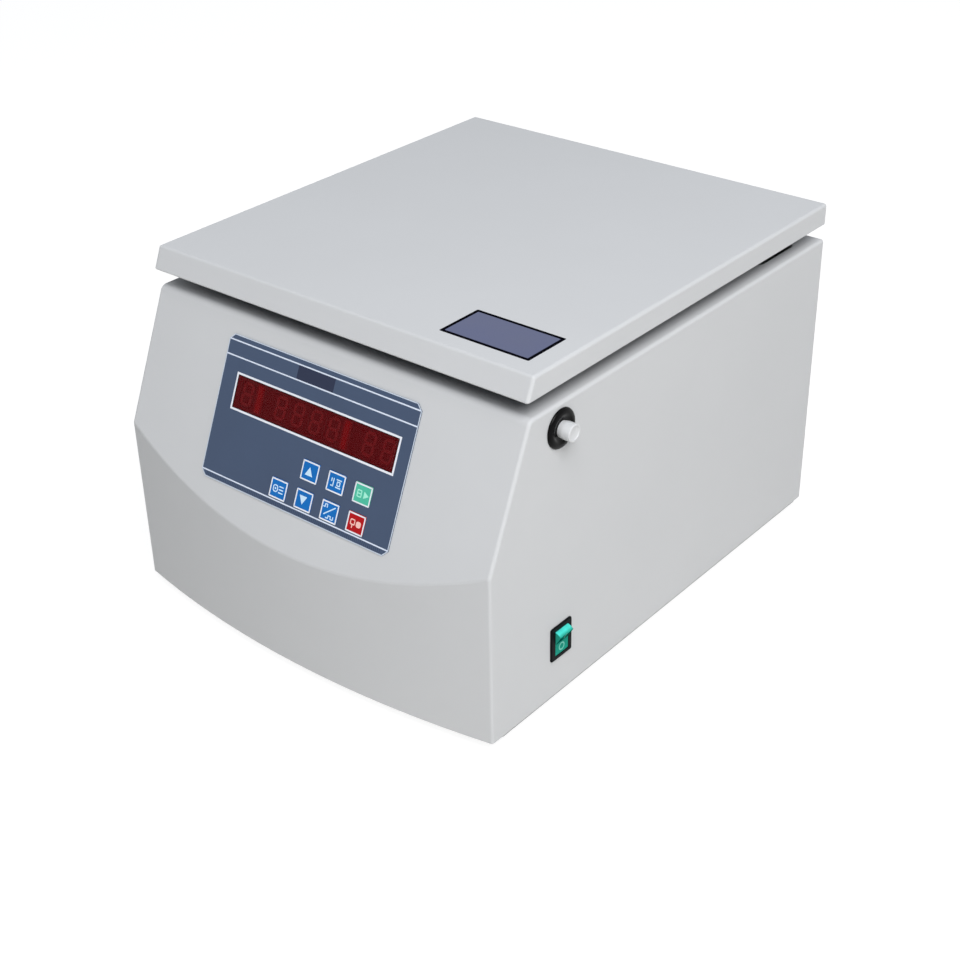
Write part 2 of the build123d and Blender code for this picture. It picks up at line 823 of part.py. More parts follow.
def pull_rod():
    """The rod from the bolt, through the side wall, to the knob."""
    end = half_width + knob_reach - knob_bore_depth - knob_floor
    return bar(rod_radius, (guide_end - rod_socket + press_gap, end), latch_y, latch_z)


def knob_bezel():
    """The dished ring round the knob, with a threaded neck and its nut inside the wall."""
    bore = rod_radius + running_gap
    ridge = bezel_radius - bezel_rim
    ring = turned(
        (bore, -bezel_neck_length),
        (bezel_neck, -bezel_neck_length),
        (bezel_neck, -wall - bezel_nut_height),
        (bezel_nut, -wall - bezel_nut_height),
        (bezel_nut, -wall),
        (bezel_neck, -wall),
        (bezel_neck, 0),
        (bezel_radius, 0),
        (bezel_radius, bezel_height - bezel_rim),
        (ridge, bezel_height),
        (ridge - bezel_ridge, bezel_height),
        (ridge - bezel_ridge - bezel_dish, bezel_floor),
        (bore, bezel_floor),
    )
    return right_side * Pos(latch_y, latch_z, 0) * ring


def release_knob():
    """The round cap on the rod, hollow at its end."""
    start = bezel_floor + moving_gap
    bottom = knob_reach - knob_bore_depth
    seat = bottom - knob_floor + press_gap
    rod = rod_radius + press_gap
    profile = FilletPolyline(
        (rod, start),
        (knob_radius - 0.8, start),
        (knob_radius, start + knob_taper),
        (knob_radius, knob_reach),
        (knob_bore, knob_reach),
        (knob_bore, bottom),
        (0, bottom),
        (0, seat),
        (rod, seat),
        radius=(0, 0, 0, 0.9, 0.6, 0, 0, 0, 0),
        close=True,
    )
    cap = revolve(Plane.XZ * make_face(profile), Axis.Z)
    return right_side * Pos(latch_y, latch_z, 0) * cap


def lid_sensor():
    """The sensor under the deck that tells whether the lid is shut."""
    x = (sensor_end - sensor_size[0], sensor_end)
    y = (latch_y - sensor_size[1] / 2, latch_y + sensor_size[1] / 2)
    sensor = block(x, y, (deck_under - sensor_size[2], deck_under))
    notch_x = (x[0] + sensor_wall, x[1] - sensor_wall)
    notch_z = (deck_under - sensor_size[2] - overcut, deck_under - sensor_wall)
    return sensor - block(notch_x, (y[0] - overcut, y[0] + sensor_wall - overcut), notch_z)


# Chamber and seal


def chamber_bowl():
    """The spun bowl that hangs in the deck by its rim."""
    r = bowl_radius
    t = bowl_wall
    low = bowl_floor
    top = body_height
    profile = FilletPolyline(
        (bowl_mouth, low),
        (r, low),
        (r, top + t - rim_slope),
        (r + rim_slope, top + t),
        (bowl_rim, top + t),
        (bowl_rim, top),
        (r + t, top),
        (r + t, low - t),
        (bowl_mouth, low - t),
        radius=(0, bowl_corner, 0, 0, 0, 0, 0, bowl_corner + t, 0),
        close=True,
    )
    return Pos(0, chamber_y, 0) * revolve(Plane.XZ * make_face(profile), Axis.Z)


def bowl_gasket():
    """The lipped rubber seal on the bowl's rim, just under the lid."""
    inner = bowl_rim - seal_width
    outer = bowl_rim + 1
    low = body_height + bowl_wall
    shoulder = low + seal_base + seal_shoulder
    top = lid_bottom - moving_gap
    lip = outer - seal_lip
    return Pos(0, chamber_y, 0) * turned(
        (inner, low),
        (outer, low),
        (outer, low + seal_base),
        (lip - 1, shoulder),
        (lip + 1, top),
        (lip - 3, top),
        (lip - 6, shoulder),
        (inner, low + seal_base),
    )


def shaft_boot():
    """The rubber bellows between the bowl's floor and the motor's neck."""
    low = bowl_floor
    top = neck_top - boot_below_neck
    inner = neck_radius + press_gap
    base = bowl_mouth - 2
    start = low + 3
    rise = (top - start) / boot_folds
    narrowing = (base - inner - boot_collar) / boot_folds
    outside = [(bowl_mouth + boot_foot, low), (bowl_mouth + boot_foot, low + 2), (base, start)]
    for fold in range(boot_folds):
        radius = base - (fold + 1) * narrowing
        z = start + fold * rise
        outside += [(radius, z + rise * 0.35), (radius + boot_fold_depth, z + rise * 0.65)]
    inside = [(r - boot_wall, z) for r, z in reversed(outside[2:-1])]
    outside += [(inner + 3, top), (inner, top)]
    inside = [(inner, top - boot_collar)] + inside + [(base - boot_wall, low)]
    return Pos(0, chamber_y, 0) * turned(*(outside + inside))


# Rotor


def rotor_yoke():
    """The cross-shaped rotor body with four open slots, lightened lobes and a tapered bore."""
    plate = Circle(yoke_radius)
    slot_place = Pos(yoke_slot_start + yoke_radius / 2, 0)
    slot = slot_place * RectangleRounded(yoke_radius, 2 * yoke_slot, slot_radius)
    for angle in quarter_turns:
        plate -= Rot(0, 0, angle) * slot
    yoke = extrude(plate, yoke_half, both=True)
    arcs = yoke.edges().filter_by(GeomType.CIRCLE)
    yoke = chamfer([arc for arc in arcs if arc.radius > 2 * slot_radius], yoke_edge)
    yoke += turned(
        (0, -yoke_half - hub_drop),
        (hub_radius, -yoke_half - hub_drop),
        (hub_radius + hub_flare, -yoke_half),
        (hub_radius - 3, yoke_half),
        (hub_radius - 3 - boss_taper, yoke_half + boss_height),
        (0, yoke_half + boss_height),
    )
    wide = cone_radius + press_gap
    narrow = cone_tip_radius + press_gap
    yoke -= turned(
        (0, -yoke_half - hub_drop - overcut),
        (wide, -yoke_half - hub_drop - overcut),
        (wide, -yoke_half - hub_drop),
        (narrow, yoke_half + boss_height),
        (narrow, yoke_half + boss_height + overcut),
        (0, yoke_half + boss_height + overcut),
    )
    lobe = Pos(lobe_pocket_place, 0) * Circle(lobe_pocket)
    hole = Rot(90, 0, 0) * Cylinder(trunnion_pin + press_gap, trunnion_press)
    for angle in quarter_turns:
        yoke -= Rot(0, 0, angle + 45) * drawn(Plane.XY, lobe, yoke_half - lobe_pocket_depth, yoke_thickness)
        for side in (-1, 1):
            place = Pos(trunnion_radius, side * (yoke_slot + trunnion_press / 2), 0)
            yoke -= Rot(0, 0, angle) * place * hole
    return Pos(0, chamber_y, trunnion_z) * yoke


def trunnion_pins():
    """The eight pins that carry the buckets, pressed into the yoke's slot walls."""
    inner = bucket_radius + band_thickness + 2 * ear_play
    outer = yoke_slot + trunnion_press - press_gap
    pin = Pos(trunnion_radius, (inner + outer) / 2, 0) * Rot(90, 0, 0) * Cylinder(trunnion_pin, outer - inner)
    pin = chamfer(pin.edges().group_by(Axis.Y)[0], 0.8).solid()
    place = Pos(0, chamber_y, trunnion_z)
    pins = []
    for angle in quarter_turns:
        for one in (pin, mirror(pin, about=Plane.XZ)):
            pins.append(place * Rot(0, 0, angle) * one)
    return Compound(pins)


def bucket():
    """One swing-out bucket, hanging from its trunnion axis at the origin, with the axis along Y."""
    r = bucket_radius
    inner = r - bucket_wall
    band = r + band_thickness
    floor = -bucket_length + bucket_floor
    profile = FilletPolyline(
        (0, -bucket_length),
        (r, -bucket_length),
        (r, -bucket_rim - band_slope),
        (band, -bucket_rim),
        (band, bucket_rim - bucket_lip),
        (band - bucket_lip, bucket_rim),
        (inner + bucket_lip, bucket_rim),
        (inner, bucket_rim - bucket_lip),
        (inner, floor),
        (0, floor),
        radius=(0, bucket_corner, 0, 0, 0, 0, 0, 0, bucket_inner_corner, 0),
        close=True,
    )
    cup = revolve(Plane.XZ * make_face(profile), Axis.Z)
    reach = yoke_slot - 2 * moving_gap
    notch = trunnion_pin + running_gap
    half = notch + ear_wall
    ear = block((-half, half), (r - overcut, reach), (-half, half + overcut))
    ear = fillet(ear.edges().filter_by(Axis.Y).group_by(Axis.Z)[-1], ear_corner)
    seat_y = (band + ear_play, reach + overcut)
    seat = Pos(0, sum(seat_y) / 2, 0) * Rot(90, 0, 0) * Cylinder(notch, seat_y[1] - seat_y[0])
    slot = block((-notch, notch), seat_y, (-half - overcut, 0))
    hollow = post(inner + overcut / 2, 0, 0, (-bucket_length, bucket_length))
    ear = ear - seat - slot - hollow
    return cup + ear + mirror(ear, about=Plane.XZ)


def buckets():
    """The four buckets in their slots."""
    hung = Pos(trunnion_radius, 0, 0) * bucket()
    place = Pos(0, chamber_y, trunnion_z)
    return [place * Rot(0, 0, angle) * hung for angle in quarter_turns]


def rotor_nut():
    """The fluted nut that clamps the yoke on its taper."""
    thread = thread_radius + press_gap
    nut = turned(
        (thread, 0),
        (nut_radius - nut_edge, 0),
        (nut_radius, nut_edge),
        (nut_radius, nut_height - nut_crown),
        (nut_radius - nut_crown, nut_height),
        (0, nut_height),
        (0, nut_height - nut_crown),
        (thread, nut_height - nut_crown),
    )
    flute = post(flute_radius, nut_radius + flute_radius - flute_depth, 0, (-overcut, nut_height + overcut))
    for step in range(nut_flutes):
        nut -= Rot(0, 0, step * 360 / nut_flutes) * flute
    return Pos(0, chamber_y, boss_top) * nut


def drive_shaft():
    """The motor's shaft, with its spindle, taper and threaded end."""
    low = motor_base + bearing_seat + press_gap
    shoulder = motor_top + bearing_rise + 4
    end = boss_top + nut_height - nut_crown - overcut
    fit = shaft_radius - running_gap
    return Pos(0, chamber_y, 0) * turned(
        (0, low),
        (fit, low),
        (fit, shoulder),
        (spindle_radius, shoulder),
        (spindle_radius, hub_low - 2),
        (cone_radius, hub_low),
        (cone_tip_radius, boss_top),
        (thread_radius, boss_top),
        (thread_radius, end),
        (0, end),
    )


# Motor and its mounting


def motor_housing():
    """The finned motor case, closed at both ends, with bearing seats and a neck up into the chamber."""
    low = motor_base
    high = motor_top
    r = motor_radius
    seat = bearing_radius + press_gap
    bore = r - motor_wall
    spindle = spindle_radius + spindle_play
    bearing_top = high + bearing_rise
    flange_top = low + motor_flange_height
    case = turned(
        (shaft_radius + shaft_play, low),
        (motor_flange, low),
        (motor_flange, flange_top),
        (r, flange_top),
        (r, high - motor_shoulder),
        (r - motor_shoulder, high),
        (neck_radius, bearing_top + 2),
        (neck_radius, neck_top),
        (spindle, neck_top),
        (spindle, bearing_top),
        (seat, bearing_top),
        (seat, high - motor_cap),
        (bore, high - motor_cap),
        (bore, low + motor_floor),
        (seat, low + motor_floor),
        (seat, low + bearing_seat),
        (shaft_radius + shaft_play, low + bearing_seat),
    )
    fin_y = (-fin_thickness / 2, fin_thickness / 2)
    fin = block((r - overcut, r + fin_depth), fin_y, (flange_top, high - motor_shoulder))
    for step in range(fin_count):
        case += Rot(0, 0, step * 360 / fin_count) * fin
    return Pos(0, chamber_y, 0) * case


def motor_stator():
    """The stator ring, with its windings at both ends."""
    outer = motor_radius - motor_wall - press_gap
    winding_inner = stator_inner + winding_inset
    winding_outer = outer - 2 * winding_inset
    low = motor_base + stator_low
    high = motor_top - stator_high
    return Pos(0, chamber_y, 0) * turned(
        (stator_inner, low + winding_height),
        (winding_inner, low),
        (winding_outer, low),
        (winding_outer, low + winding_height),
        (outer, low + winding_height),
        (outer, high - winding_height),
        (winding_outer, high - winding_height),
        (winding_outer, high),
        (winding_inner, high),
        (stator_inner, high - winding_height),
    )


def magnet_rotor():
    """The motor's magnet rotor on the shaft."""
    low = motor_base + stator_low + magnet_inset
    high = motor_top - stator_high - magnet_inset
    inner = shaft_radius - running_gap + press_gap
    outer = stator_inner - magnet_gap
    return Pos(0, chamber_y, 0) * turned((inner, low), (outer, low), (outer, high), (inner, high))


def motor_bearings():
    """The two ball bearings, with the groove of their shields."""
    outer = bearing_radius
    inner = shaft_radius
    w = bearing_width
    d = shield_depth
    ring = turned(
        (inner, 0),
        (inner + race, 0),
        (inner + race, d),
        (outer - race, d),
        (outer - race, 0),
        (outer, 0),
        (outer, w),
        (outer - race, w),
        (outer - race, w - d),
        (inner + race, w - d),
        (inner + race, w),
        (inner, w),
    ).solid()
    places = (motor_base + bearing_seat, motor_top + bearing_rise - bearing_width)
    return Compound([Pos(0, chamber_y, z) * ring for z in places])


def motor_plate():
    """The steel plate that carries the motor on its rubber mounts."""
    plate = RectangleRounded(plate_size, plate_size, plate_corner) - Circle(shaft_radius + plate_hole)
    return Pos(0, chamber_y, damper_height) * extrude(plate, plate_thickness)


def motor_dampers():
    """The four waisted rubber mounts under the motor plate."""
    r = damper_radius
    h = damper_height
    damper = turned(
        (0, 0),
        (r, 0),
        (r, damper_band),
        (r - damper_waist, h / 2),
        (r, h - damper_band),
        (r, h),
        (0, h),
    ).solid()
    spread = corners(2 * damper_spread, 2 * damper_spread)
    return Compound([Pos(x, chamber_y + y, 0) * damper for x, y in spread])


# Control face


def panel_overlay():
    """The printed sheet on the slanted face, with cut corners and openings for the window and the keys."""
    width = overlay_right - overlay_left
    height = overlay_top - overlay_bottom
    sheet = Rectangle(width, height)
    sheet = chamfer(sheet.vertices(), overlay_cut)
    sheet = Pos(overlay_left + width / 2, overlay_bottom + height / 2) * sheet
    window = Rectangle(window_width + 2 * press_gap, window_height + 2 * press_gap)
    sheet -= [Pos(*window_centre) * window] + key_openings()
    return drawn(control_face, sheet, 0, overlay_thickness)


def display_window():
    """The tinted window, level with the overlay."""
    pane = Pos(*window_centre) * Rectangle(window_width, window_height)
    return drawn(control_face, pane, 0, overlay_thickness)


def display_module():
    """The display board with its digit blocks, on spacers behind the face."""
    front = -wall - digit_gap
    back = front - digit_depth
    middle = Pos(*window_centre)
    size = (window_width + 2 * board_margin, window_height + 2 * board_margin)
    module = drawn(control_face, middle * Rectangle(*size), back - board_thickness, back)
    for start, count in digit_starts:
        for step in range(count):
            digit = Pos(start + step * digit_pitch, window_centre[1]) * Rectangle(*digit_size)
            module += drawn(control_face, digit, back, front)
    for u, v in corners(size[0] - 2 * spacer_inset, size[1] - 2 * spacer_inset):
        module += drawn(control_face, middle * Pos(u, v) * Circle(spacer_radius), back, -wall)
    return module


def key_piece(column, row):
    """One key: a pad through the face, with a flange that keeps it in."""
    place = Pos(*key_centre(column, row))
    under = -wall - moving_gap
    top = overlay_thickness + key_proud
    pad = drawn(control_face, place * RectangleRounded(key_width, key_height, key_corner), under, top)
    lip = RectangleRounded(key_width + 2 * key_lip, key_height + 2 * key_lip, key_corner)
    return pad + drawn(control_face, place * lip, under - key_flange, under)


def control_board():
    """The key board with a small switch behind each key, on spacers behind the face."""
    left, low = key_centre(0, 0)
    right, high = key_centre(3, 1)
    front = -wall - key_board_gap
    back = front - board_thickness
    middle = Pos((left + right) / 2, (low + high) / 2)
    width = right - left + key_width + 2 * key_board_side
    height = high - low + key_height + 2 * key_board_end
    board = drawn(control_face, middle * Rectangle(width, height), back, front)
    switch_top = -wall - 2 * moving_gap - key_flange - key_travel
    for place in key_grid.values():
        switch = Pos(*key_centre(*place)) * Rectangle(key_switch, key_switch)
        board += drawn(control_face, switch, front, switch_top)
    for u, v in corners(width - 2 * spacer_radius - spacer_inset, height - 2 * spacer_inset):
        board += drawn(control_face, middle * Pos(u, v) * Circle(spacer_radius), front, -wall)
    chip = middle * Pos(*chip_place) * Rectangle(*chip_size[:2])
    return board + drawn(control_face, chip, back - chip_size[2], back)


# Power switch


def switch_opening():
    """The opening that the rocker tips in, as a sketch on the side wall."""
    return Pos(switch_y, switch_z) * Rectangle(rocker_width + 2 * moving_gap, 2 * (rocker_radius + moving_gap))


def switch_bezel():
    """The frame round the rocker, on the side wall."""
    outline = Pos(switch_y, switch_z) * RectangleRounded(frame_width, frame_tall, frame_corner)
    frame = drawn(right_side, outline, 0, frame_proud)
    frame = chamfer(frame.edges().group_by(Axis.X)[-1], frame_edge)
    return frame - drawn(right_side, switch_opening(), -overcut, frame_proud + overcut)


def switch_body():
    """The switch's case behind the frame, with three tabs."""
    place = Pos(switch_y, switch_z)
    case = drawn(right_side, place * Rectangle(case_y, case_z), -switch_depth, 0)
    case -= drawn(right_side, switch_opening(), -switch_cavity, overcut)
    pin_room = rocker_width + 2 * rocker_pin_end + loose_gap
    case -= Pos(rocker_x, switch_y, switch_z) * Rot(90, 0, 0) * Cylinder(rocker_pin + running_gap, pin_room)
    for row in (-1, 0, 1):
        tab = place * Pos(0, row * tab_pitch) * Rectangle(*tab_size)
        case += drawn(right_side, tab, -switch_depth - tab_length, -switch_depth)
    return case


def switch_rocker():
    """The rocker with its dished face, pressed in at its lower end."""
    reach = 1.3 * rocker_radius
    tip_x = rocker_apex + reach * sin(radians(rocker_tilt))
    tip_z = reach * cos(radians(rocker_tilt))
    heel = (-rocker_heel, rocker_radius + overcut)
    outline = Polygon(
        (heel[0], -heel[1]),
        (tip_x, -tip_z),
        (rocker_apex, 0),
        (tip_x, tip_z),
        heel,
    )
    outline &= Circle(rocker_radius)
    rocker = extrude(Plane.XZ * outline, rocker_width / 2, both=True)
    rocker += Rot(90, 0, 0) * Cylinder(rocker_pin, rocker_width + 2 * rocker_pin_end)
    return Pos(rocker_x, switch_y, switch_z) * Rot(0, rocker_tilt, 0) * rocker


# Drive electronics


def drive_board():
    """The motor drive's board on its pillars, with its main components."""
    x = -half_width + drive_inset
    y = drive_front
    width, length = drive_size
    top = pillar_height + board_thickness
    board = block((x, x + width), (y, y + length), (pillar_height, top))
    middle = Pos(x + width / 2, y + length / 2)
    for px, py in corners(width - 2 * pillar_inset, length - 2 * pillar_inset):
        board += drawn(Plane.XY, middle * Pos(px, py) * Circle(pillar_radius), 0, pillar_height)
    for step in range(3):
        cx = x + capacitor_first[0]
        cy = y + capacitor_first[1] + step * capacitor_pitch
        board += post(capacitor_radius, cx, cy, (top, top + capacitor_height))
    for place, size in (
        (transformer_place, transformer_size),
        (filter_place, filter_size),
        (relay_place, relay_size),
    ):
        outline = Pos(x + place[0], y + place[1]) * Rectangle(*size[:2])
        board += drawn(Plane.XY, outline, top, top + size[2])
    return board


def heat_sink():
    """The drive's finned heat sink, standing on the base pan."""
    left = -half_width + drive_inset
    width, length, height = sink_size
    y = (sink_y, sink_y + length)
    sink = block((left, left + width), y, (0, sink_base))
    for fin in range(sink_fins):
        start = left + fin * (width - sink_fin) / (sink_fins - 1)
        sink += block((start, start + sink_fin), y, (sink_base, height))
    return sink


nodes = {
    "housing_shell": housing_shell(),
    "base_pan": base_pan(),
    "rear_panel": rear_panel(),
    "rubber_feet": rubber_feet(),
    "base_screws": base_screws(),
    "rear_screws": rear_screws(),
    "power_inlet": power_inlet(),
    "fuse_drawer": fuse_drawer(),
    "lid_shell": lid_shell(),
    "lid_liner": lid_liner(),
    "lid_screws": lid_screws(),
    "hinge_arm_right": hinge_arm(),
    "hinge_arm_left": mirrored(hinge_arm()),
    "hinge_bracket_right": hinge_bracket(),
    "hinge_bracket_left": mirrored(hinge_bracket()),
    "hinge_pin_right": hinge_pin(),
    "hinge_pin_left": mirrored(hinge_pin()),
    "hinge_spring_right": hinge_spring(),
    "hinge_spring_left": mirrored(hinge_spring()),
    "lid_striker": lid_striker(),
    "latch_bracket": latch_bracket(),
    "latch_bolt": latch_bolt(),
    "latch_spring": latch_spring(),
    "pull_rod": pull_rod(),
    "knob_bezel": knob_bezel(),
    "release_knob": release_knob(),
    "lid_sensor": lid_sensor(),
    "chamber_bowl": chamber_bowl(),
    "bowl_gasket": bowl_gasket(),
    "shaft_boot": shaft_boot(),
    "rotor_yoke": rotor_yoke(),
    "trunnion_pins": trunnion_pins(),
    "rotor_nut": rotor_nut(),
    "drive_shaft": drive_shaft(),
    "motor_housing": motor_housing(),
    "motor_stator": motor_stator(),
    "magnet_rotor": magnet_rotor(),
    "motor_bearings": motor_bearings(),
    "motor_plate": motor_plate(),
    "motor_dampers": motor_dampers(),
    "panel_overlay": panel_overlay(),
    "display_window": display_window(),
    "display_module": display_module(),
    "control_board": control_board(),
    "switch_bezel": switch_bezel(),
    "switch_body": switch_body(),
    "switch_rocker": switch_rocker(),
    "drive_board": drive_board(),
    "heat_sink": heat_sink(),
}
for number, piece in enumerate(buckets(), 1):
    nodes[f"bucket_{number}"] = piece
for name, place in key_grid.items():
    nodes[name] = key_piece(*place)

os.makedirs("parts", exist_ok=True)
for name, piece in nodes.items():
    export_step(Pos(-origin_x, -origin_y, -origin_z) * piece, f"parts/{name}.step")
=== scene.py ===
"""Low-speed bench centrifuge: its finishes, print, marks, small fittings, studio and camera.

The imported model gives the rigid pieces. Sizes here are millimetres and angles are degrees, and a
piece is brought to metres when it is cast. Colours are written as 8-bit screen values.
"""

import logging
from collections.abc import Sequence
from dataclasses import dataclass, field
from enum import Enum
from math import ceil, cos, pi, radians, sin, tan
from typing import ClassVar

import bmesh
import bpy
from mathutils import Matrix, Vector
from mathutils.bvhtree import BVHTree


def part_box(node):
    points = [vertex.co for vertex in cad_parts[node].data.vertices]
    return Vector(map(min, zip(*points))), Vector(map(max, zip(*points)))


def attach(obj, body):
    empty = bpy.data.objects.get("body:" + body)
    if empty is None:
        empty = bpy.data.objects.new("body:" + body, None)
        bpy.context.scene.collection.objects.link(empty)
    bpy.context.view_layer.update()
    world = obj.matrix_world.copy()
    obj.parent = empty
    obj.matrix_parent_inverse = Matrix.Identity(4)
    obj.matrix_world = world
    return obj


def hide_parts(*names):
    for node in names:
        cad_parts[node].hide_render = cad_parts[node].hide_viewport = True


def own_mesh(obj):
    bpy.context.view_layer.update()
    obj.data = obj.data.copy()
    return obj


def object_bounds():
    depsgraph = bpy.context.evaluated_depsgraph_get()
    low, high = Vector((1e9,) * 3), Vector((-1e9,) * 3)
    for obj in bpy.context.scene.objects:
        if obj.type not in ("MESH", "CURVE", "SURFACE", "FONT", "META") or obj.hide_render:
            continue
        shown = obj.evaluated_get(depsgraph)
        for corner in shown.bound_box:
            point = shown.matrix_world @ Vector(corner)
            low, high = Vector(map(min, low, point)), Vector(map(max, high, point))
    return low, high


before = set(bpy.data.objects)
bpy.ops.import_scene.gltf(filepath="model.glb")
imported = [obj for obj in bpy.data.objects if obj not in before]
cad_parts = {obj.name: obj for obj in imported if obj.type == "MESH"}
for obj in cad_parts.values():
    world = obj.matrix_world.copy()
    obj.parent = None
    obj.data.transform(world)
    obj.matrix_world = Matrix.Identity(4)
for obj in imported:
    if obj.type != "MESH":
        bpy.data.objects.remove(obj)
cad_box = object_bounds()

MM = 0.001
SHARP_ANGLE = 32.0
PRINT_HEIGHT = 0.06     # how far ink stands over its surface
PRINT_SINK = 0.03       # how far its underside lies in the surface
UNDER_PRINT = 0.042     # how far ink stands that lies beside or below other ink
ROUND_STEPS = 5         # faces round a quarter corner
CLOSE_PITCH = 1.08      # from turn to turn where they lie side by side, in wire widths
CLEAR = 150.0           # how far out a line onto a surface starts
LEFT_TO_RIGHT = Vector((1, 0, 0))
FRONT_TO_BACK = Vector((0, 1, 0))
UPWARDS = Vector((0, 0, 1))

Rgb = tuple[int, int, int]
Pair = tuple[float, float]
Triple = tuple[float, float, float]

log = logging.getLogger("centrifuge")


# Shader graphs


def linear(colour: Rgb) -> tuple[float, float, float, float]:
    """Turns 8-bit screen values into the shader's own.

    Args:
        colour: Red, green and blue, from 0 to 255.

    Returns:
        The linear colour, with full alpha.
    """
    parts = [value / 255 for value in colour]
    bent = [part / 12.92 if part <= 0.04045 else ((part + 0.055) / 1.055) ** 2.4 for part in parts]
    return (*bent, 1.0)


class Graph:
    """Adds nodes to a shader tree and joins them."""

    def __init__(self, tree: bpy.types.NodeTree) -> None:
        """Starts from an empty tree.

        Args:
            tree: The node tree of a material, a world or a group.
        """
        tree.nodes.clear()
        self.tree = tree

    def add(self, kind: str, inputs: dict | None = None, **settings: object) -> bpy.types.Node:
        """Adds one node.

        Args:
            kind: The node's type.
            inputs: A value, or a socket to join, for each input by its name or number.
            **settings: The node's own properties.

        Returns:
            The new node.
        """
        node = self.tree.nodes.new(kind)
        for name, value in settings.items():
            setattr(node, name, value)
        for name, value in (inputs or {}).items():
            if isinstance(value, bpy.types.NodeSocket):
                self.tree.links.new(value, node.inputs[name])
            else:
                node.inputs[name].default_value = value
        return node

    def sum(self, kind: str, *values: object) -> bpy.types.NodeSocket:
        """Joins a Math node and returns its result.

        Args:
            kind: The operation, such as MULTIPLY.
            *values: Numbers or sockets.
        """
        return self.add("ShaderNodeMath", dict(enumerate(values)), operation=kind).outputs[0]

    def noise(self, place: object, scale: object, detail: float) -> bpy.types.NodeSocket:
        """Joins a noise texture and returns its value.

        Args:
            place: The socket with the pattern's coordinates.
            scale: Features in a metre, as a number or a socket.
            detail: How many finer layers it has.
        """
        wired = {"Vector": place, "Scale": scale, "Detail": detail}
        return self.add("ShaderNodeTexNoise", wired).outputs["Fac"]


class Effect:
    """A surface effect that several finishes share, as a node group that is built once.

    Each effect gives a colour, a roughness and a height that change over the surface.
    """

    name: ClassVar[str]
    inputs: ClassVar[tuple] = (
        ("Vector", "NodeSocketVector", (0.0, 0.0, 0.0)),
        ("Colour", "NodeSocketColor", (0.5, 0.5, 0.5, 1.0)),
        ("Tone", "NodeSocketFloat", 0.03),
        ("Roughness", "NodeSocketFloat", 0.4),
        ("Gloss", "NodeSocketFloat", 0.05),
        ("Patches", "NodeSocketFloat", 9.0),
        ("Grains", "NodeSocketFloat", 900.0),
    )
    outputs: ClassVar[tuple] = (
        ("Colour", "NodeSocketColor"),
        ("Roughness", "NodeSocketFloat"),
        ("Height", "NodeSocketFloat"),
    )
    patch_detail: ClassVar[float] = 3.0
    noise_span: ClassVar[Pair] = (0.3, 0.7)

    def group(self) -> bpy.types.NodeTree:
        """Returns the effect's node group."""
        tree = bpy.data.node_groups.get(self.name)
        if tree is not None:
            return tree
        tree = bpy.data.node_groups.new(self.name, "ShaderNodeTree")
        for label, kind, value in self.inputs:
            socket = tree.interface.new_socket(name=label, in_out="INPUT", socket_type=kind)
            socket.default_value = value
        for label, kind in self.outputs:
            tree.interface.new_socket(name=label, in_out="OUTPUT", socket_type=kind)
        graph = Graph(tree)
        given = graph.add("NodeGroupInput").outputs
        grain = self.grain(graph, given)
        patch = graph.noise(given["Vector"], given["Patches"], self.patch_detail)
        mixed = self.shade(graph, grain, patch)
        low, high = self.noise_span
        swing = graph.add("ShaderNodeMapRange", {"Value": mixed, 1: low, 2: high, 3: -1.0, 4: 1.0}).outputs[0]
        lift = graph.sum("MULTIPLY_ADD", swing, given["Tone"], 1.0)
        toned = graph.add("ShaderNodeHueSaturation", {"Color": given["Colour"], "Value": lift})
        rough = graph.sum("MULTIPLY_ADD", swing, given["Gloss"], given["Roughness"])
        results = {"Colour": toned.outputs["Color"], "Roughness": rough, "Height": grain}
        graph.add("NodeGroupOutput", results)
        return tree

    def grain(self, graph: Graph, given: bpy.types.NodeOutputs) -> bpy.types.NodeSocket:
        """Returns the fine pattern, from 0 to 1."""
        raise NotImplementedError

    def shade(self, graph: Graph, grain: bpy.types.NodeSocket, patch: bpy.types.NodeSocket) -> object:
        """Returns what the colour and the roughness follow: the broad patches."""
        return patch


class Grain(Effect):
    """An even grain, such as powder paint, moulded plastic, rubber and castings have."""

    name = "even_grain"
    grain_detail: ClassVar[float] = 2.0

    def grain(self, graph: Graph, given: bpy.types.NodeOutputs) -> bpy.types.NodeSocket:
        """Returns a fine noise."""
        return graph.noise(given["Vector"], given["Grains"], self.grain_detail)


class Lines(Effect):
    """Straight fine lines across X, such as a brush leaves in sheet metal."""

    name = "straight_lines"
    line_detail: ClassVar[float] = 4.0
    stretch: ClassVar[Triple] = (1.0, 0.015, 0.015)
    line_share: ClassVar[float] = 0.6

    def across(self, graph: Graph, place: bpy.types.NodeSocket) -> bpy.types.NodeSocket:
        """Returns the coordinates in which the lines are drawn out."""
        return graph.add("ShaderNodeVectorMath", {0: place, 1: self.stretch}, operation="MULTIPLY").outputs[0]

    def grain(self, graph: Graph, given: bpy.types.NodeOutputs) -> bpy.types.NodeSocket:
        """Returns the lines."""
        return graph.noise(self.across(graph, given["Vector"]), given["Grains"], self.line_detail)

    def shade(self, graph: Graph, grain: bpy.types.NodeSocket, patch: bpy.types.NodeSocket) -> object:
        """Returns the lines and the patches, mixed, because lines show in the colour too."""
        lined = graph.sum("MULTIPLY", grain, self.line_share)
        return graph.sum("MULTIPLY_ADD", patch, 1 - self.line_share, lined)


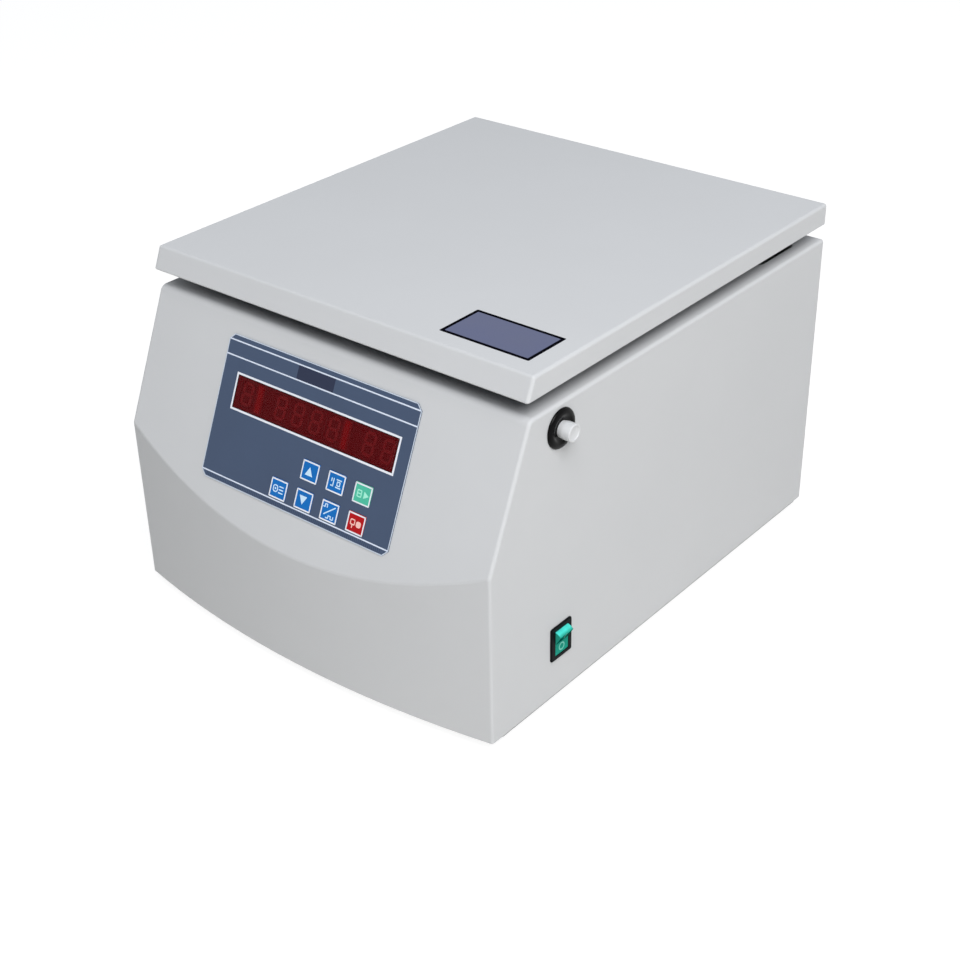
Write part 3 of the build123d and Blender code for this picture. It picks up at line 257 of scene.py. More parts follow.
class Rings(Lines):
    """Fine rings about Z, such as a lathe or a spinning tool leaves."""

    name = "turned_rings"

    def across(self, graph: Graph, place: bpy.types.NodeSocket) -> bpy.types.NodeSocket:
        """Returns the distance from the axis and the height as the coordinates."""
        flat = graph.add("ShaderNodeVectorMath", {0: place, 1: (1, 1, 0)}, operation="MULTIPLY").outputs[0]
        radius = graph.add("ShaderNodeVectorMath", {0: flat}, operation="LENGTH").outputs["Value"]
        height = graph.add("ShaderNodeSeparateXYZ", {0: place}).outputs["Z"]
        return graph.add("ShaderNodeCombineXYZ", {"X": radius, "Y": height}).outputs[0]


class Texture(Enum):
    """The fine texture of a finish."""

    GRAIN = Grain()
    LINES = Lines()
    RINGS = Rings()


# Finishes


@dataclass(frozen=True)
class Finish:
    """One surface finish, with the fine texture that the real surface shows.

    Attributes:
        name: The material's name.
        colour: Screen values of the colour.
        roughness: Mean roughness.
        metallic: 1 on bare metal.
        texture: How the fine texture runs.
        tone: How far the colour swings over the surface.
        gloss: How far the roughness swings.
        patch: Size of the broad patches.
        grain: Size of one grain, or pitch of the lines.
        relief: Height of the grain.
        coat: Clear coat over the surface.
        coat_roughness: The coat's roughness.
        specular: Strength of the reflection at right angles.
        alpha: 1 where nothing shows through.
        painted_glow: Painted light that the surface gives off, though it is no lamp.
        centre: Middle of the rings.
        turn: Turn of the pattern about each axis.
        ends: Painted shade for the faces that look down and a painted highlight for those that look up, where
            a piece has them.
        slopes: Upward parts of the normals at which the painted shade and the painted highlight stop and
            start.
    """

    name: str
    colour: Rgb
    roughness: float
    metallic: float = 0.0
    texture: Texture = Texture.GRAIN
    tone: float = 0.03
    gloss: float = 0.05
    patch: float = 110.0
    grain: float = 1.1
    relief: float = 0.012
    coat: float = 0.0
    coat_roughness: float = 0.06
    specular: float = 0.5
    alpha: float = 1.0
    painted_glow: float = 0.0
    centre: Triple = (0.0, 0.0, 0.0)
    turn: Triple = (0.0, 0.0, 0.0)
    ends: tuple[Rgb, Rgb] | None = None
    slopes: ClassVar[tuple[float, ...]] = (-0.3, -0.1, 0.72, 0.86)

    def tinted(self, graph: Graph) -> object:
        """Returns the colour, or a ramp over the faces' slopes that paints shade on faces that look down and
        a highlight on those that look up.
        """
        if self.ends is None:
            return linear(self.colour)
        # painted light: the normal's upward part picks painted shade, the plain colour or a painted highlight
        normal = graph.add("ShaderNodeTexCoord").outputs["Normal"]
        upwards = graph.add("ShaderNodeSeparateXYZ", {0: normal}).outputs["Z"]
        share = graph.sum("MULTIPLY_ADD", upwards, 0.5, 0.5)
        ramp = graph.add("ShaderNodeValToRGB", {0: share})
        down, up = self.ends
        stops = ramp.color_ramp.elements
        while len(stops) < len(self.slopes):
            stops.new(0.5)
        for stop, slope, colour in zip(stops, self.slopes, (down, self.colour, self.colour, up)):
            stop.position = (slope + 1) / 2
            stop.color = linear(colour)
        return ramp.outputs["Color"]

    def material(self) -> bpy.types.Material:
        """Returns the finish as a material, which is made when it is first asked for."""
        found = bpy.data.materials.get(self.name)
        if found is not None:
            return found
        made = bpy.data.materials.new(self.name)
        made.use_nodes = True
        graph = Graph(made.node_tree)
        place = graph.add("ShaderNodeTexCoord").outputs["Object"]
        middle = [value * MM for value in self.centre]
        turn = [radians(value) for value in self.turn]
        mapping = {"Vector": place, "Location": middle, "Rotation": turn}
        placed = graph.add("ShaderNodeMapping", mapping, vector_type="TEXTURE").outputs[0]
        colour = self.tinted(graph)
        given = {
            "Vector": placed,
            "Colour": colour,
            "Tone": self.tone,
            "Roughness": self.roughness,
            "Gloss": self.gloss,
            "Patches": 1 / (self.patch * MM),
            "Grains": 1 / (self.grain * MM),
        }
        effect = graph.add("ShaderNodeGroup", given, node_tree=self.texture.value.group()).outputs
        bump = graph.add("ShaderNodeBump", {"Height": effect["Height"], "Distance": self.relief * MM})
        shader = graph.add("ShaderNodeBsdfPrincipled", {
            "Base Color": effect["Colour"],
            "Roughness": effect["Roughness"],
            "Normal": bump.outputs["Normal"],
            "Metallic": self.metallic,
            "Coat Weight": self.coat,
            "Coat Roughness": self.coat_roughness,
            "Specular IOR Level": self.specular,
            "Alpha": self.alpha,
            # painted light: emission on finishes that give off light though they are no lamp
            "Emission Color": colour,
            "Emission Strength": self.painted_glow,
        })
        graph.add("ShaderNodeOutputMaterial", {"Surface": shader.outputs["BSDF"]})
        return made


def ink(name: str, colour: Rgb, **rest: float) -> Finish:
    """Mixes a printing ink.

    Args:
        name: The ink's name.
        colour: Its colour.
        **rest: The values in which it differs from the plain ink.

    Returns:
        The finish.
    """
    values = {"roughness": 0.42, "tone": 0.02, "grain": 0.5, "relief": 0.003, "specular": 0.2} | rest
    return Finish(name, colour, **values)


def dress(finish: Finish, *nodes: str) -> None:
    """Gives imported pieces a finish.

    Args:
        finish: The finish.
        *nodes: The pieces' names.
    """
    for name in nodes:
        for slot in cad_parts[name].material_slots:
            slot.material = finish.material()
        log.info("%s has the finish %s", name, finish.name)


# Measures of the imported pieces


def corners(node: str) -> tuple[Vector, Vector]:
    """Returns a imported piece's lowest and highest corner, in millimetres."""
    low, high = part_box(node)
    return low / MM, high / MM


def centre_of(node: str) -> Vector:
    """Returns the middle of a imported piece's box, in millimetres."""
    low, high = corners(node)
    return (low + high) / 2


def solids(node: str) -> list[tuple[Vector, Vector]]:
    """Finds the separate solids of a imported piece.

    Args:
        node: The piece's name.

    Returns:
        The lowest and highest corner of each solid, in millimetres.
    """
    mesh = bmesh.new()
    mesh.from_mesh(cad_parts[node].data)
    bmesh.ops.remove_doubles(mesh, verts=mesh.verts, dist=MM * MM)
    waiting = set(mesh.verts)
    found = []
    while waiting:
        front = [waiting.pop()]
        points = []
        while front:
            vert = front.pop()
            points.append(vert.co / MM)
            near = {edge.other_vert(vert) for edge in vert.link_edges} & waiting
            waiting -= near
            front += near
        found.append(tuple(Vector(map(pick, *points)) for pick in (min, max)))
    mesh.free()
    return sorted(found, key=lambda box: tuple(box[0]))


@dataclass(frozen=True)
class Seat:
    """A flat place for a mark: the matrix that takes it there, and the width and height it has."""

    place: Matrix
    width: float
    height: float

    def at(self, x: float, y: float, sink: float = PRINT_SINK, turn: float = 0.0) -> Matrix:
        """Returns the place of a mark.

        Args:
            x: Distance to the right of the seat's middle.
            y: Distance over the seat's middle.
            sink: How far the mark's underside lies in the surface.
            turn: Turn of the mark, to the left.
        """
        return self.place @ Matrix.Translation((x, y, -sink)) @ Matrix.Rotation(radians(turn), 4, "Z")


@dataclass(frozen=True)
class Facing:
    """A direction from which flat places are seen: what is right and what is up."""

    right: Vector
    up: Vector

    @property
    def out(self) -> Vector:
        """The direction that faces out of the surface."""
        return self.right.cross(self.up)

    def matrix(self, point: Vector) -> Matrix:
        """Returns the matrix that takes a flat mark to a point."""
        axes = Matrix((self.right, self.up, self.out)).transposed()
        return Matrix.Translation(point) @ axes.to_4x4()

    def over(self, node: str) -> Seat:
        """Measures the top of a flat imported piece.

        Args:
            node: The piece's name.

        Returns:
            The seat in the middle of its top.
        """
        points = [vert.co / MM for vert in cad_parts[node].data.vertices]
        spans = []
        for axis in (self.right, self.up, self.out):
            reach = [point.dot(axis) for point in points]
            spans.append((min(reach), max(reach)))
        (left, right), (low, high), (_, top) = spans
        point = self.right * (left + right) / 2 + self.up * (low + high) / 2 + self.out * top
        return Seat(self.matrix(point), right - left, high - low)

    def landed(self, node: str, point: Vector) -> Matrix:
        """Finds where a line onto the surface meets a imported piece.

        Args:
            node: The piece's name.
            point: A point over the surface. The line goes inwards from there.

        Returns:
            The place of a mark that lies flat on the piece at that point.
        """
        mesh = bmesh.new()
        mesh.from_mesh(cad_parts[node].data)
        hit, normal, _, _ = BVHTree.FromBMesh(mesh).ray_cast(point * MM, -self.out)
        mesh.free()
        right = self.up.cross(normal).normalized()
        return Facing(right, normal.cross(right)).matrix(hit / MM)


FROM_ABOVE = Facing(LEFT_TO_RIGHT, FRONT_TO_BACK)
FROM_RIGHT = Facing(FRONT_TO_BACK, UPWARDS)


# Shapes, in millimetres


def thicken(shape: bmesh.types.BMesh, thickness: float) -> bmesh.types.BMesh:
    """Raises flat faces on the plane z = 0 into a closed plate.

    Args:
        shape: The flat shape.
        thickness: The plate's thickness.

    Returns:
        The same shape.
    """
    made = bmesh.ops.extrude_face_region(shape, geom=shape.faces[:], use_keep_orig=True)
    risen = [item for item in made["geom"] if isinstance(item, bmesh.types.BMVert)]
    bmesh.ops.translate(shape, vec=(0, 0, thickness), verts=risen)
    bmesh.ops.recalc_face_normals(shape, faces=shape.faces)
    return shape


def rectangle(
    width: float, height: float, corner: float = 0.0, steps: int = ROUND_STEPS
) -> bmesh.types.BMesh:
    """Makes a flat rectangle round the origin.

    Args:
        width: Its size along X.
        height: Its size along Y.
        corner: Radius of its corners.
        steps: Faces round a corner. One step cuts it straight.

    Returns:
        The flat shape.
    """
    shape = bmesh.new()
    bmesh.ops.create_grid(shape, x_segments=1, y_segments=1, size=0.5)
    bmesh.ops.scale(shape, vec=(width, height, 1), verts=shape.verts)
    if corner:
        bmesh.ops.bevel(
            shape, geom=shape.verts[:], offset=corner, offset_type="OFFSET", affect="VERTICES",
            segments=steps, profile=0.5, material=-1,
        )
    return shape


def hollowed(shape: bmesh.types.BMesh, band: float) -> bmesh.types.BMesh:
    """Keeps only a band along the edge of a flat shape.

    Args:
        shape: The flat shape.
        band: Width of the band.

    Returns:
        The same shape.
    """
    inner = shape.faces[:]
    bmesh.ops.inset_region(shape, faces=inner, thickness=band, use_even_offset=True, use_boundary=True)
    bmesh.ops.delete(shape, geom=inner, context="FACES")
    return shape


def disc(radius: float, sides: int) -> bmesh.types.BMesh:
    """Makes a flat disc or regular polygon round the origin.

    Args:
        radius: Its radius.
        sides: How many sides it has.

    Returns:
        The flat shape.
    """
    shape = bmesh.new()
    bmesh.ops.create_circle(shape, cap_ends=True, segments=sides, radius=radius)
    return shape


def turned(profile: Sequence[Pair], steps: int = 40) -> bmesh.types.BMesh:
    """Turns a profile about the Z axis.

    Args:
        profile: Points of radius and height, from the axis round to the axis.
        steps: Faces round the axis.

    Returns:
        The closed shape.
    """
    shape = bmesh.new()
    verts = [shape.verts.new((radius, 0, height)) for radius, height in profile]
    edges = [shape.edges.new(ends) for ends in zip(verts, verts[1:])]
    bmesh.ops.spin(
        shape, geom=verts + edges, axis=(0, 0, 1), cent=(0, 0, 0), angle=2 * pi, steps=steps, use_merge=True
    )
    bmesh.ops.remove_doubles(shape, verts=shape.verts, dist=MM)
    bmesh.ops.recalc_face_normals(shape, faces=shape.faces)
    return shape


def coil(
    radius: float, wire: float, length: float, turns: float, steps: int = 20, sides: int = 8
) -> bmesh.types.BMesh:
    """Winds a round wire about the Z axis.

    Args:
        radius: From the axis to the middle of the wire.
        wire: The wire's diameter.
        length: From the first turn's middle to the last one's.
        turns: How many turns it has.
        steps: Faces round one turn.
        sides: Faces round the wire.

    Returns:
        The closed shape, which starts at z = 0.
    """
    shape = bmesh.new()
    bmesh.ops.create_circle(shape, segments=sides, radius=wire / 2)
    bmesh.ops.rotate(shape, cent=(0, 0, 0), matrix=Matrix.Rotation(pi / 2, 3, "X"), verts=shape.verts)
    bmesh.ops.translate(shape, vec=(radius, 0, 0), verts=shape.verts)
    count = ceil(turns * steps)
    bmesh.ops.spin(
        shape, geom=shape.verts[:] + shape.edges[:], axis=(0, 0, 1), cent=(0, 0, 0),
        angle=2 * pi * turns, dvec=(0, 0, length / count), steps=count,
    )
    ends = [edge for edge in shape.edges if edge.is_boundary]
    bmesh.ops.holes_fill(shape, edges=ends)
    bmesh.ops.recalc_face_normals(shape, faces=shape.faces)
    return shape


def numeral(figure: str, height: float) -> bmesh.types.BMesh:
    """Makes a raised number in the plain built-in face.

    Args:
        figure: The number.
        height: Height of its figures.

    Returns:
        The closed shape, centred, with its underside on z = 0.
    """
    letter_share = 0.7
    curve = bpy.data.curves.new("figure", "FONT")
    curve.body = figure
    curve.size = height / letter_share
    curve.align_x = "CENTER"
    curve.align_y = "CENTER"
    curve.extrude = PRINT_HEIGHT / 2 + PRINT_SINK / 2
    thing = bpy.data.objects.new("figure", curve)
    bpy.context.scene.collection.objects.link(thing)
    bpy.context.view_layer.update()
    mesh = bpy.data.meshes.new_from_object(thing)
    shape = bmesh.new()
    shape.from_mesh(mesh)
    bmesh.ops.remove_doubles(shape, verts=shape.verts, dist=MM)
    bmesh.ops.translate(shape, vec=(0, 0, curve.extrude), verts=shape.verts)
    bmesh.ops.recalc_face_normals(shape, faces=shape.faces)
    bpy.data.objects.remove(thing)
    bpy.data.curves.remove(curve)
    bpy.data.meshes.remove(mesh)
    return shape


def as_object(shape: bmesh.types.BMesh, name: str) -> bpy.types.Object:
    """Puts a shape into the scene and empties it.

    Args:
        shape: The shape.
        name: The object's name.

    Returns:
        The object.
    """
    mesh = bpy.data.meshes.new(name)
    shape.to_mesh(mesh)
    shape.free()
    thing = bpy.data.objects.new(name, mesh)
    bpy.context.scene.collection.objects.link(thing)
    return thing


def carved(shape: bmesh.types.BMesh, cutter: bmesh.types.BMesh) -> bmesh.types.BMesh:
    """Cuts one closed shape out of another.

    Args:
        shape: What is cut.
        cutter: What cuts it.

    Returns:
        The cut shape.
    """
    stock = as_object(shape, "stock")
    tool = as_object(cutter, "tool")
    cut = stock.modifiers.new("cut", "BOOLEAN")
    cut.object = tool
    cut.operation = "DIFFERENCE"
    cut.solver = "EXACT"
    bpy.context.view_layer.update()
    graph = bpy.context.evaluated_depsgraph_get()
    mesh = bpy.data.meshes.new_from_object(stock.evaluated_get(graph))
    result = bmesh.new()
    result.from_mesh(mesh)
    for thing in (stock, tool):
        bpy.data.objects.remove(thing)
    return result


class Mould:
    """Collects shapes, in millimetres, and casts them as one piece of the machine."""

    def __init__(self) -> None:
        """Starts empty."""
        self.mesh = bmesh.new()

    def add(self, shape: bmesh.types.BMesh, place: Matrix | None = None, finish: int = 0) -> None:
        """Adds a shape and empties it.

        Args:
            shape: The shape.
            place: Where it goes. Without one it stays where it is.
            finish: Which of the piece's finishes it takes.
        """
        if place is not None:
            shape.transform(place)
        for face in shape.faces:
            face.material_index = finish
        carrier = bpy.data.meshes.new("carrier")
        shape.to_mesh(carrier)
        shape.free()
        self.mesh.from_mesh(carrier)
        bpy.data.meshes.remove(carrier)

    def cast(self, name: str, body: str, *finishes: Finish, slot: str = "") -> bpy.types.Object:
        """Makes the piece and puts it on its body.

        Args:
            name: The piece's name.
            body: The body that it moves with.
            *finishes: Its finishes, in the order in which its shapes name them.
            slot: The record's material slot, where it has one. It is not used.

        Returns:
            The piece.
        """
        self.mesh.transform(Matrix.Scale(MM, 4))
        piece = as_object(self.mesh, name)
        piece.data.shade_smooth()
        piece.data.set_sharp_from_angle(angle=radians(SHARP_ANGLE))
        for finish in finishes:
            piece.data.materials.append(finish.material())
        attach(piece, body)
        log.info("%s has %d faces and rides on %s", name, len(piece.data.polygons), body)
        return piece


def along_x(point: Vector) -> Matrix:
    """Returns the place of a turned shape whose axis runs to the right from a point."""
    return Matrix.Translation(point) @ Matrix.Rotation(pi / 2, 4, "Y")


def wound(node: str, wire: float, turns: float = 0.0) -> Mould:
    """Winds a spring along X in the place of its packed form.

    Args:
        node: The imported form.
        wire: Diameter of the wire.
        turns: How many turns it has. Without a number they lie side by side.

    Returns:
        The mould that holds it.
    """
    low, high = corners(node)
    middle = (low + high) / 2
    length = high.x - low.x - wire
    radius = (high.z - low.z - wire) / 2
    start = Vector((low.x + wire / 2, middle.y, middle.z))
    mould = Mould()
    mould.add(coil(radius, wire, length, turns or length / (wire * CLOSE_PITCH)), along_x(start))
    return mould


# Marks on keys


@dataclass(frozen=True)
class Bar:
    """A straight stroke round x and y, of a width and a height, turned to the left."""

    end_share: ClassVar[float] = 0.35
    end_steps: ClassVar[int] = 3
    x: float
    y: float
    width: float
    height: float
    turn: float = 0.0

    def shape(self) -> bmesh.types.BMesh:
        """Returns the stroke's flat form, with rounded ends."""
        end = min(self.width, self.height) * self.end_share
        return rectangle(self.width, self.height, end, self.end_steps)


@dataclass(frozen=True)
class Loop:
    """A closed line round x and y, as a rounded rectangle."""

    x: float
    y: float
    width: float
    height: float
    corner: float = 0.8
    line: float = 1.05
    turn: float = 0.0

    def shape(self) -> bmesh.types.BMesh:
        """Returns the line's flat form."""
        return hollowed(rectangle(self.width, self.height, self.corner), self.line)


@dataclass(frozen=True)
class Arrow:
    """A filled triangle round x and y that points up, turned to the left."""

    x: float
    y: float
    size: float
    turn: float = 0.0
    lean: float = 1.02

    def shape(self) -> bmesh.types.BMesh:
        """Returns the triangle's flat form."""
        flat = disc(self.size, 3)
        bmesh.ops.scale(flat, vec=(1, self.lean, 1), verts=flat.verts)
        return flat


class Icon(Enum):
    """The generic mark on each key, as strokes round the key's middle."""

    UP = (Arrow(-0.7, -1.2, 5.1),)
    DOWN = (Arrow(-1.0, 1.2, 5.1, 180),)
    SELECT = (
        Bar(-5.0, 1.8, 1.1, 3.4), Bar(-2.8, 0.2, 1.1, 7.0), Bar(-3.9, -3.2, 3.6, 1.1),
        Bar(3.1, 3.3, 6.0, 1.1), Loop(3.1, -0.1, 4.2, 4.4), Bar(3.1, -3.5, 6.0, 1.1),
    )
    SET = (
        Loop(-3.4, 0, 6.0, 6.8, 2.4), Bar(-3.4, 0, 1.8, 1.8),
        Bar(3.3, 2.8, 5.4, 1.1), Bar(3.3, 0, 5.4, 1.1), Bar(3.3, -2.8, 5.4, 1.1),
    )
    PULSE = (
        Bar(0.2, 1.0, 15.0, 1.1, 37),
        Bar(-6.6, 3.2, 2.4, 1.0), Bar(-5.6, 4.5, 1.0, 3.4), Bar(-4.4, 5.8, 3.0, 1.0),
        Bar(-3.2, 4.5, 1.0, 3.4), Bar(-1.6, -5.8, 3.0, 1.0), Bar(-0.2, -4.6, 1.0, 3.2),
        Bar(1.2, -3.4, 3.2, 1.0), Bar(2.6, -4.6, 1.0, 3.2), Bar(4.0, -5.8, 3.2, 1.0),
        Bar(5.4, -4.6, 1.0, 3.2),
    )
    START = (Loop(-3.3, 0, 5.4, 6.8, 1.2), Bar(-3.3, 0, 4.0, 1.0), Arrow(3.5, 0, 3.7, -90, 1.0))
    STOP = (Loop(-3.4, 0.6, 5.6, 5.4, 1.4), Bar(-3.4, -3.2, 1.1, 3.0), Bar(3.3, 0, 5.4, 5.4))


# Sub-assemblies

PAINT = Finish(
    "grey_powder_paint", (208, 209, 211), 0.58, tone=0.012, gloss=0.04, grain=1.3, relief=0.010, specular=0.2
)
ZINC = Finish("zinc_plate", (178, 180, 182), 0.34, 1.0, Texture.LINES, tone=0.08, grain=0.4, relief=0.004)
BLACK_GLOSS = Finish("black_gloss_plastic", (7, 7, 8), 0.16, tone=0.02, gloss=0.02, relief=0.0, specular=0.08)
BLACK_SATIN = Finish(
    "black_satin_plastic", (17, 19, 21), 0.42, tone=0.08, grain=0.35, relief=0.006, specular=0.04
)
WHITE_INK = ink("white_ink", (236, 239, 247))


class SubAssembly:
    """A group of pieces that are dressed and completed together."""

    body: ClassVar[str] = "housing"

    def build(self) -> None:
        """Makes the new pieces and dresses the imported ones."""
        raise NotImplementedError


@dataclass(frozen=True)
class ScrewSet:
    """Pan-head screws with cross recesses, in the places of a packed group of screws.

    Attributes:
        node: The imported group.
        body: The body that carries them.
        out: The direction in which the heads face.
        slot_length: Length of each arm of the cross, end to end.
        slot_width: Width of each arm.
        slot_depth: Depth of the cross.
        shank_radius: Radius of the shank.
        head_height: Height of the head.
        edge_share: Height of the head's straight edge, as a share of the head's.
        dome_steps: Faces from that edge up to the head's middle.
        spin_step: How much further each screw is turned than the one before, in radians.
    """

    node: str
    body: str
    out: Vector
    slot_length: float = 4.0
    slot_width: float = 0.9
    slot_depth: float = 1.3
    shank_radius: float = 1.9
    head_height: float = 2.2
    edge_share: float = 0.45
    dome_steps: int = 4
    spin_step: float = 0.7

    def screw(self, head_radius: float, length: float) -> bmesh.types.BMesh:
        """Makes one screw along Z, with its head's underside on z = 0.

        Args:
            head_radius: The head's radius.
            length: From the underside of the head to the shank's end.

        Returns:
            The closed shape.
        """
        edge = self.head_height * self.edge_share
        profile = [(0, -length), (self.shank_radius, -length), (self.shank_radius, 0), (head_radius, 0)]
        for step in range(self.dome_steps + 1):
            angle = radians(90 * step / self.dome_steps)
            profile.append((head_radius * cos(angle), edge + (self.head_height - edge) * sin(angle)))
        body = turned(profile)
        place = Matrix.Translation((0, 0, self.head_height - self.slot_depth))
        for turn in (0, 90):
            arm = thicken(rectangle(self.slot_length, self.slot_width), 2 * self.slot_depth)
            arm.transform(place @ Matrix.Rotation(radians(turn), 4, "Z"))
            body = carved(body, arm)
        return body

    def build(self, finish: Finish) -> None:
        """Puts a screw where each packed one is.

        Args:
            finish: The screws' finish.
        """
        mould = Mould()
        turn = UPWARDS.rotation_difference(self.out).to_matrix().to_4x4()
        across = [axis for axis in (LEFT_TO_RIGHT, FRONT_TO_BACK, UPWARDS) if not axis.dot(self.out)]
        for number, (low, high) in enumerate(solids(self.node)):
            size = high - low
            tall = max(abs(size.dot(self.out)), self.head_height)
            radius = min(size.dot(axis) for axis in across) / 2
            head = (low + high) / 2 + self.out * (tall / 2 - self.head_height)
            spin = Matrix.Rotation(number * self.spin_step, 4, "Z")
            mould.add(self.screw(radius, tall - self.head_height), Matrix.Translation(head) @ turn @ spin)
        name = self.node.replace("_screws", "_cross_screws")
        screws = mould.cast(name, self.body, finish, slot="screw_steel")
        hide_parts(self.node)


@dataclass
class Casing(SubAssembly):
    """The painted shell with its pan, rear panel, feet and screws."""

    paint: Finish = PAINT
    pan: Finish = Finish("dark_pan_paint", (118, 120, 122), 0.5, tone=0.03, grain=1.0)
    rear: Finish = Finish("rear_panel_paint", (201, 202, 203), 0.46, tone=0.015, grain=1.3, relief=0.010)
    rubber: Finish = Finish(
        "foot_rubber", (24, 24, 25), 0.75, tone=0.12, grain=0.6, relief=0.02, specular=0.3
    )
    inlet: Finish = BLACK_SATIN
    drawer: Finish = Finish("fuse_drawer_plastic", (30, 31, 32), 0.45, tone=0.08, grain=0.5, relief=0.01)

    def build(self) -> None:
        """Dresses the casing and puts in its screws."""
        dress(self.paint, "housing_shell")
        dress(self.pan, "base_pan")
        dress(self.rear, "rear_panel")
        dress(self.rubber, "rubber_feet")
        dress(self.inlet, "power_inlet")
        dress(self.drawer, "fuse_drawer")
        ScrewSet("rear_screws", self.body, FRONT_TO_BACK).build(ZINC)
        ScrewSet("base_screws", self.body, -UPWARDS).build(ZINC)


@dataclass
class Lid(SubAssembly):
    """The lid with its liner, its screws and the bare plate on its right front.

    Attributes:
        plate_size: Width and height of the plate.
        plate_place: Its middle, to the right of the lid's middle and in front of it.
        plate_edge: Width of its black edge.
        plate_corner: Radius of its corners.
    """

    body: ClassVar[str] = "lid"
    plate_size: Pair = (92.6, 50.0)
    plate_place: Pair = (150.7, -179.5)
    plate_edge: float = 3.4
    plate_corner: float = 1.2
    # The liner's dark grey is partly painted shade: it darkens the gap under the lid.
    liner: Finish = Finish(
        "liner_darkened_for_painted_shade", (66, 68, 71), 0.5, tone=0.03, grain=1.3, relief=0.010, specular=0.3
    )
    edge_ink: Finish = ink("plate_edge_ink", (9, 9, 16), roughness=0.4, tone=0.06, specular=0.0)
    plate_ink: Finish = ink("plate_ink", (92, 98, 128), tone=0.03, patch=30, specular=0.15)

    def build(self) -> None:
        """Dresses the lid and adds its plate and screws."""
        dress(PAINT, "lid_shell")
        dress(self.liner, "lid_liner")
        top = FROM_ABOVE.over("lid_shell")
        width, height = self.plate_size
        edge = 2 * self.plate_edge
        mould = Mould()
        outer = rectangle(width, height, self.plate_corner)
        mould.add(thicken(outer, PRINT_HEIGHT), top.at(*self.plate_place))
        inner = rectangle(width - edge, height - edge, self.plate_corner / 2)
        mould.add(thicken(inner, PRINT_HEIGHT), top.at(*self.plate_place, sink=0.0), 1)
        mould.cast("lid_plate", self.body, self.edge_ink, self.plate_ink)
        ScrewSet("lid_screws", self.body, -UPWARDS).build(ZINC)


@dataclass
class Hinges(SubAssembly):
    """The two goose-neck hinges, with wound springs on their pins."""

    wire: float = 2.0
    steel: Finish = Finish("spring_wire", (120, 122, 126), 0.3, 1.0, tone=0.1, grain=0.6, relief=0.004)

    def build(self) -> None:
        """Dresses both hinges and winds their springs."""
        for side in ("right", "left"):
            dress(ZINC, f"hinge_arm_{side}", f"hinge_bracket_{side}")
            dress(self.steel, f"hinge_pin_{side}")
            node = f"hinge_spring_{side}"
            coiled = wound(node, self.wire)
            spring = coiled.cast(f"wound_spring_{side}", self.body, self.steel, slot="spring_steel")
            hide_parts(node)


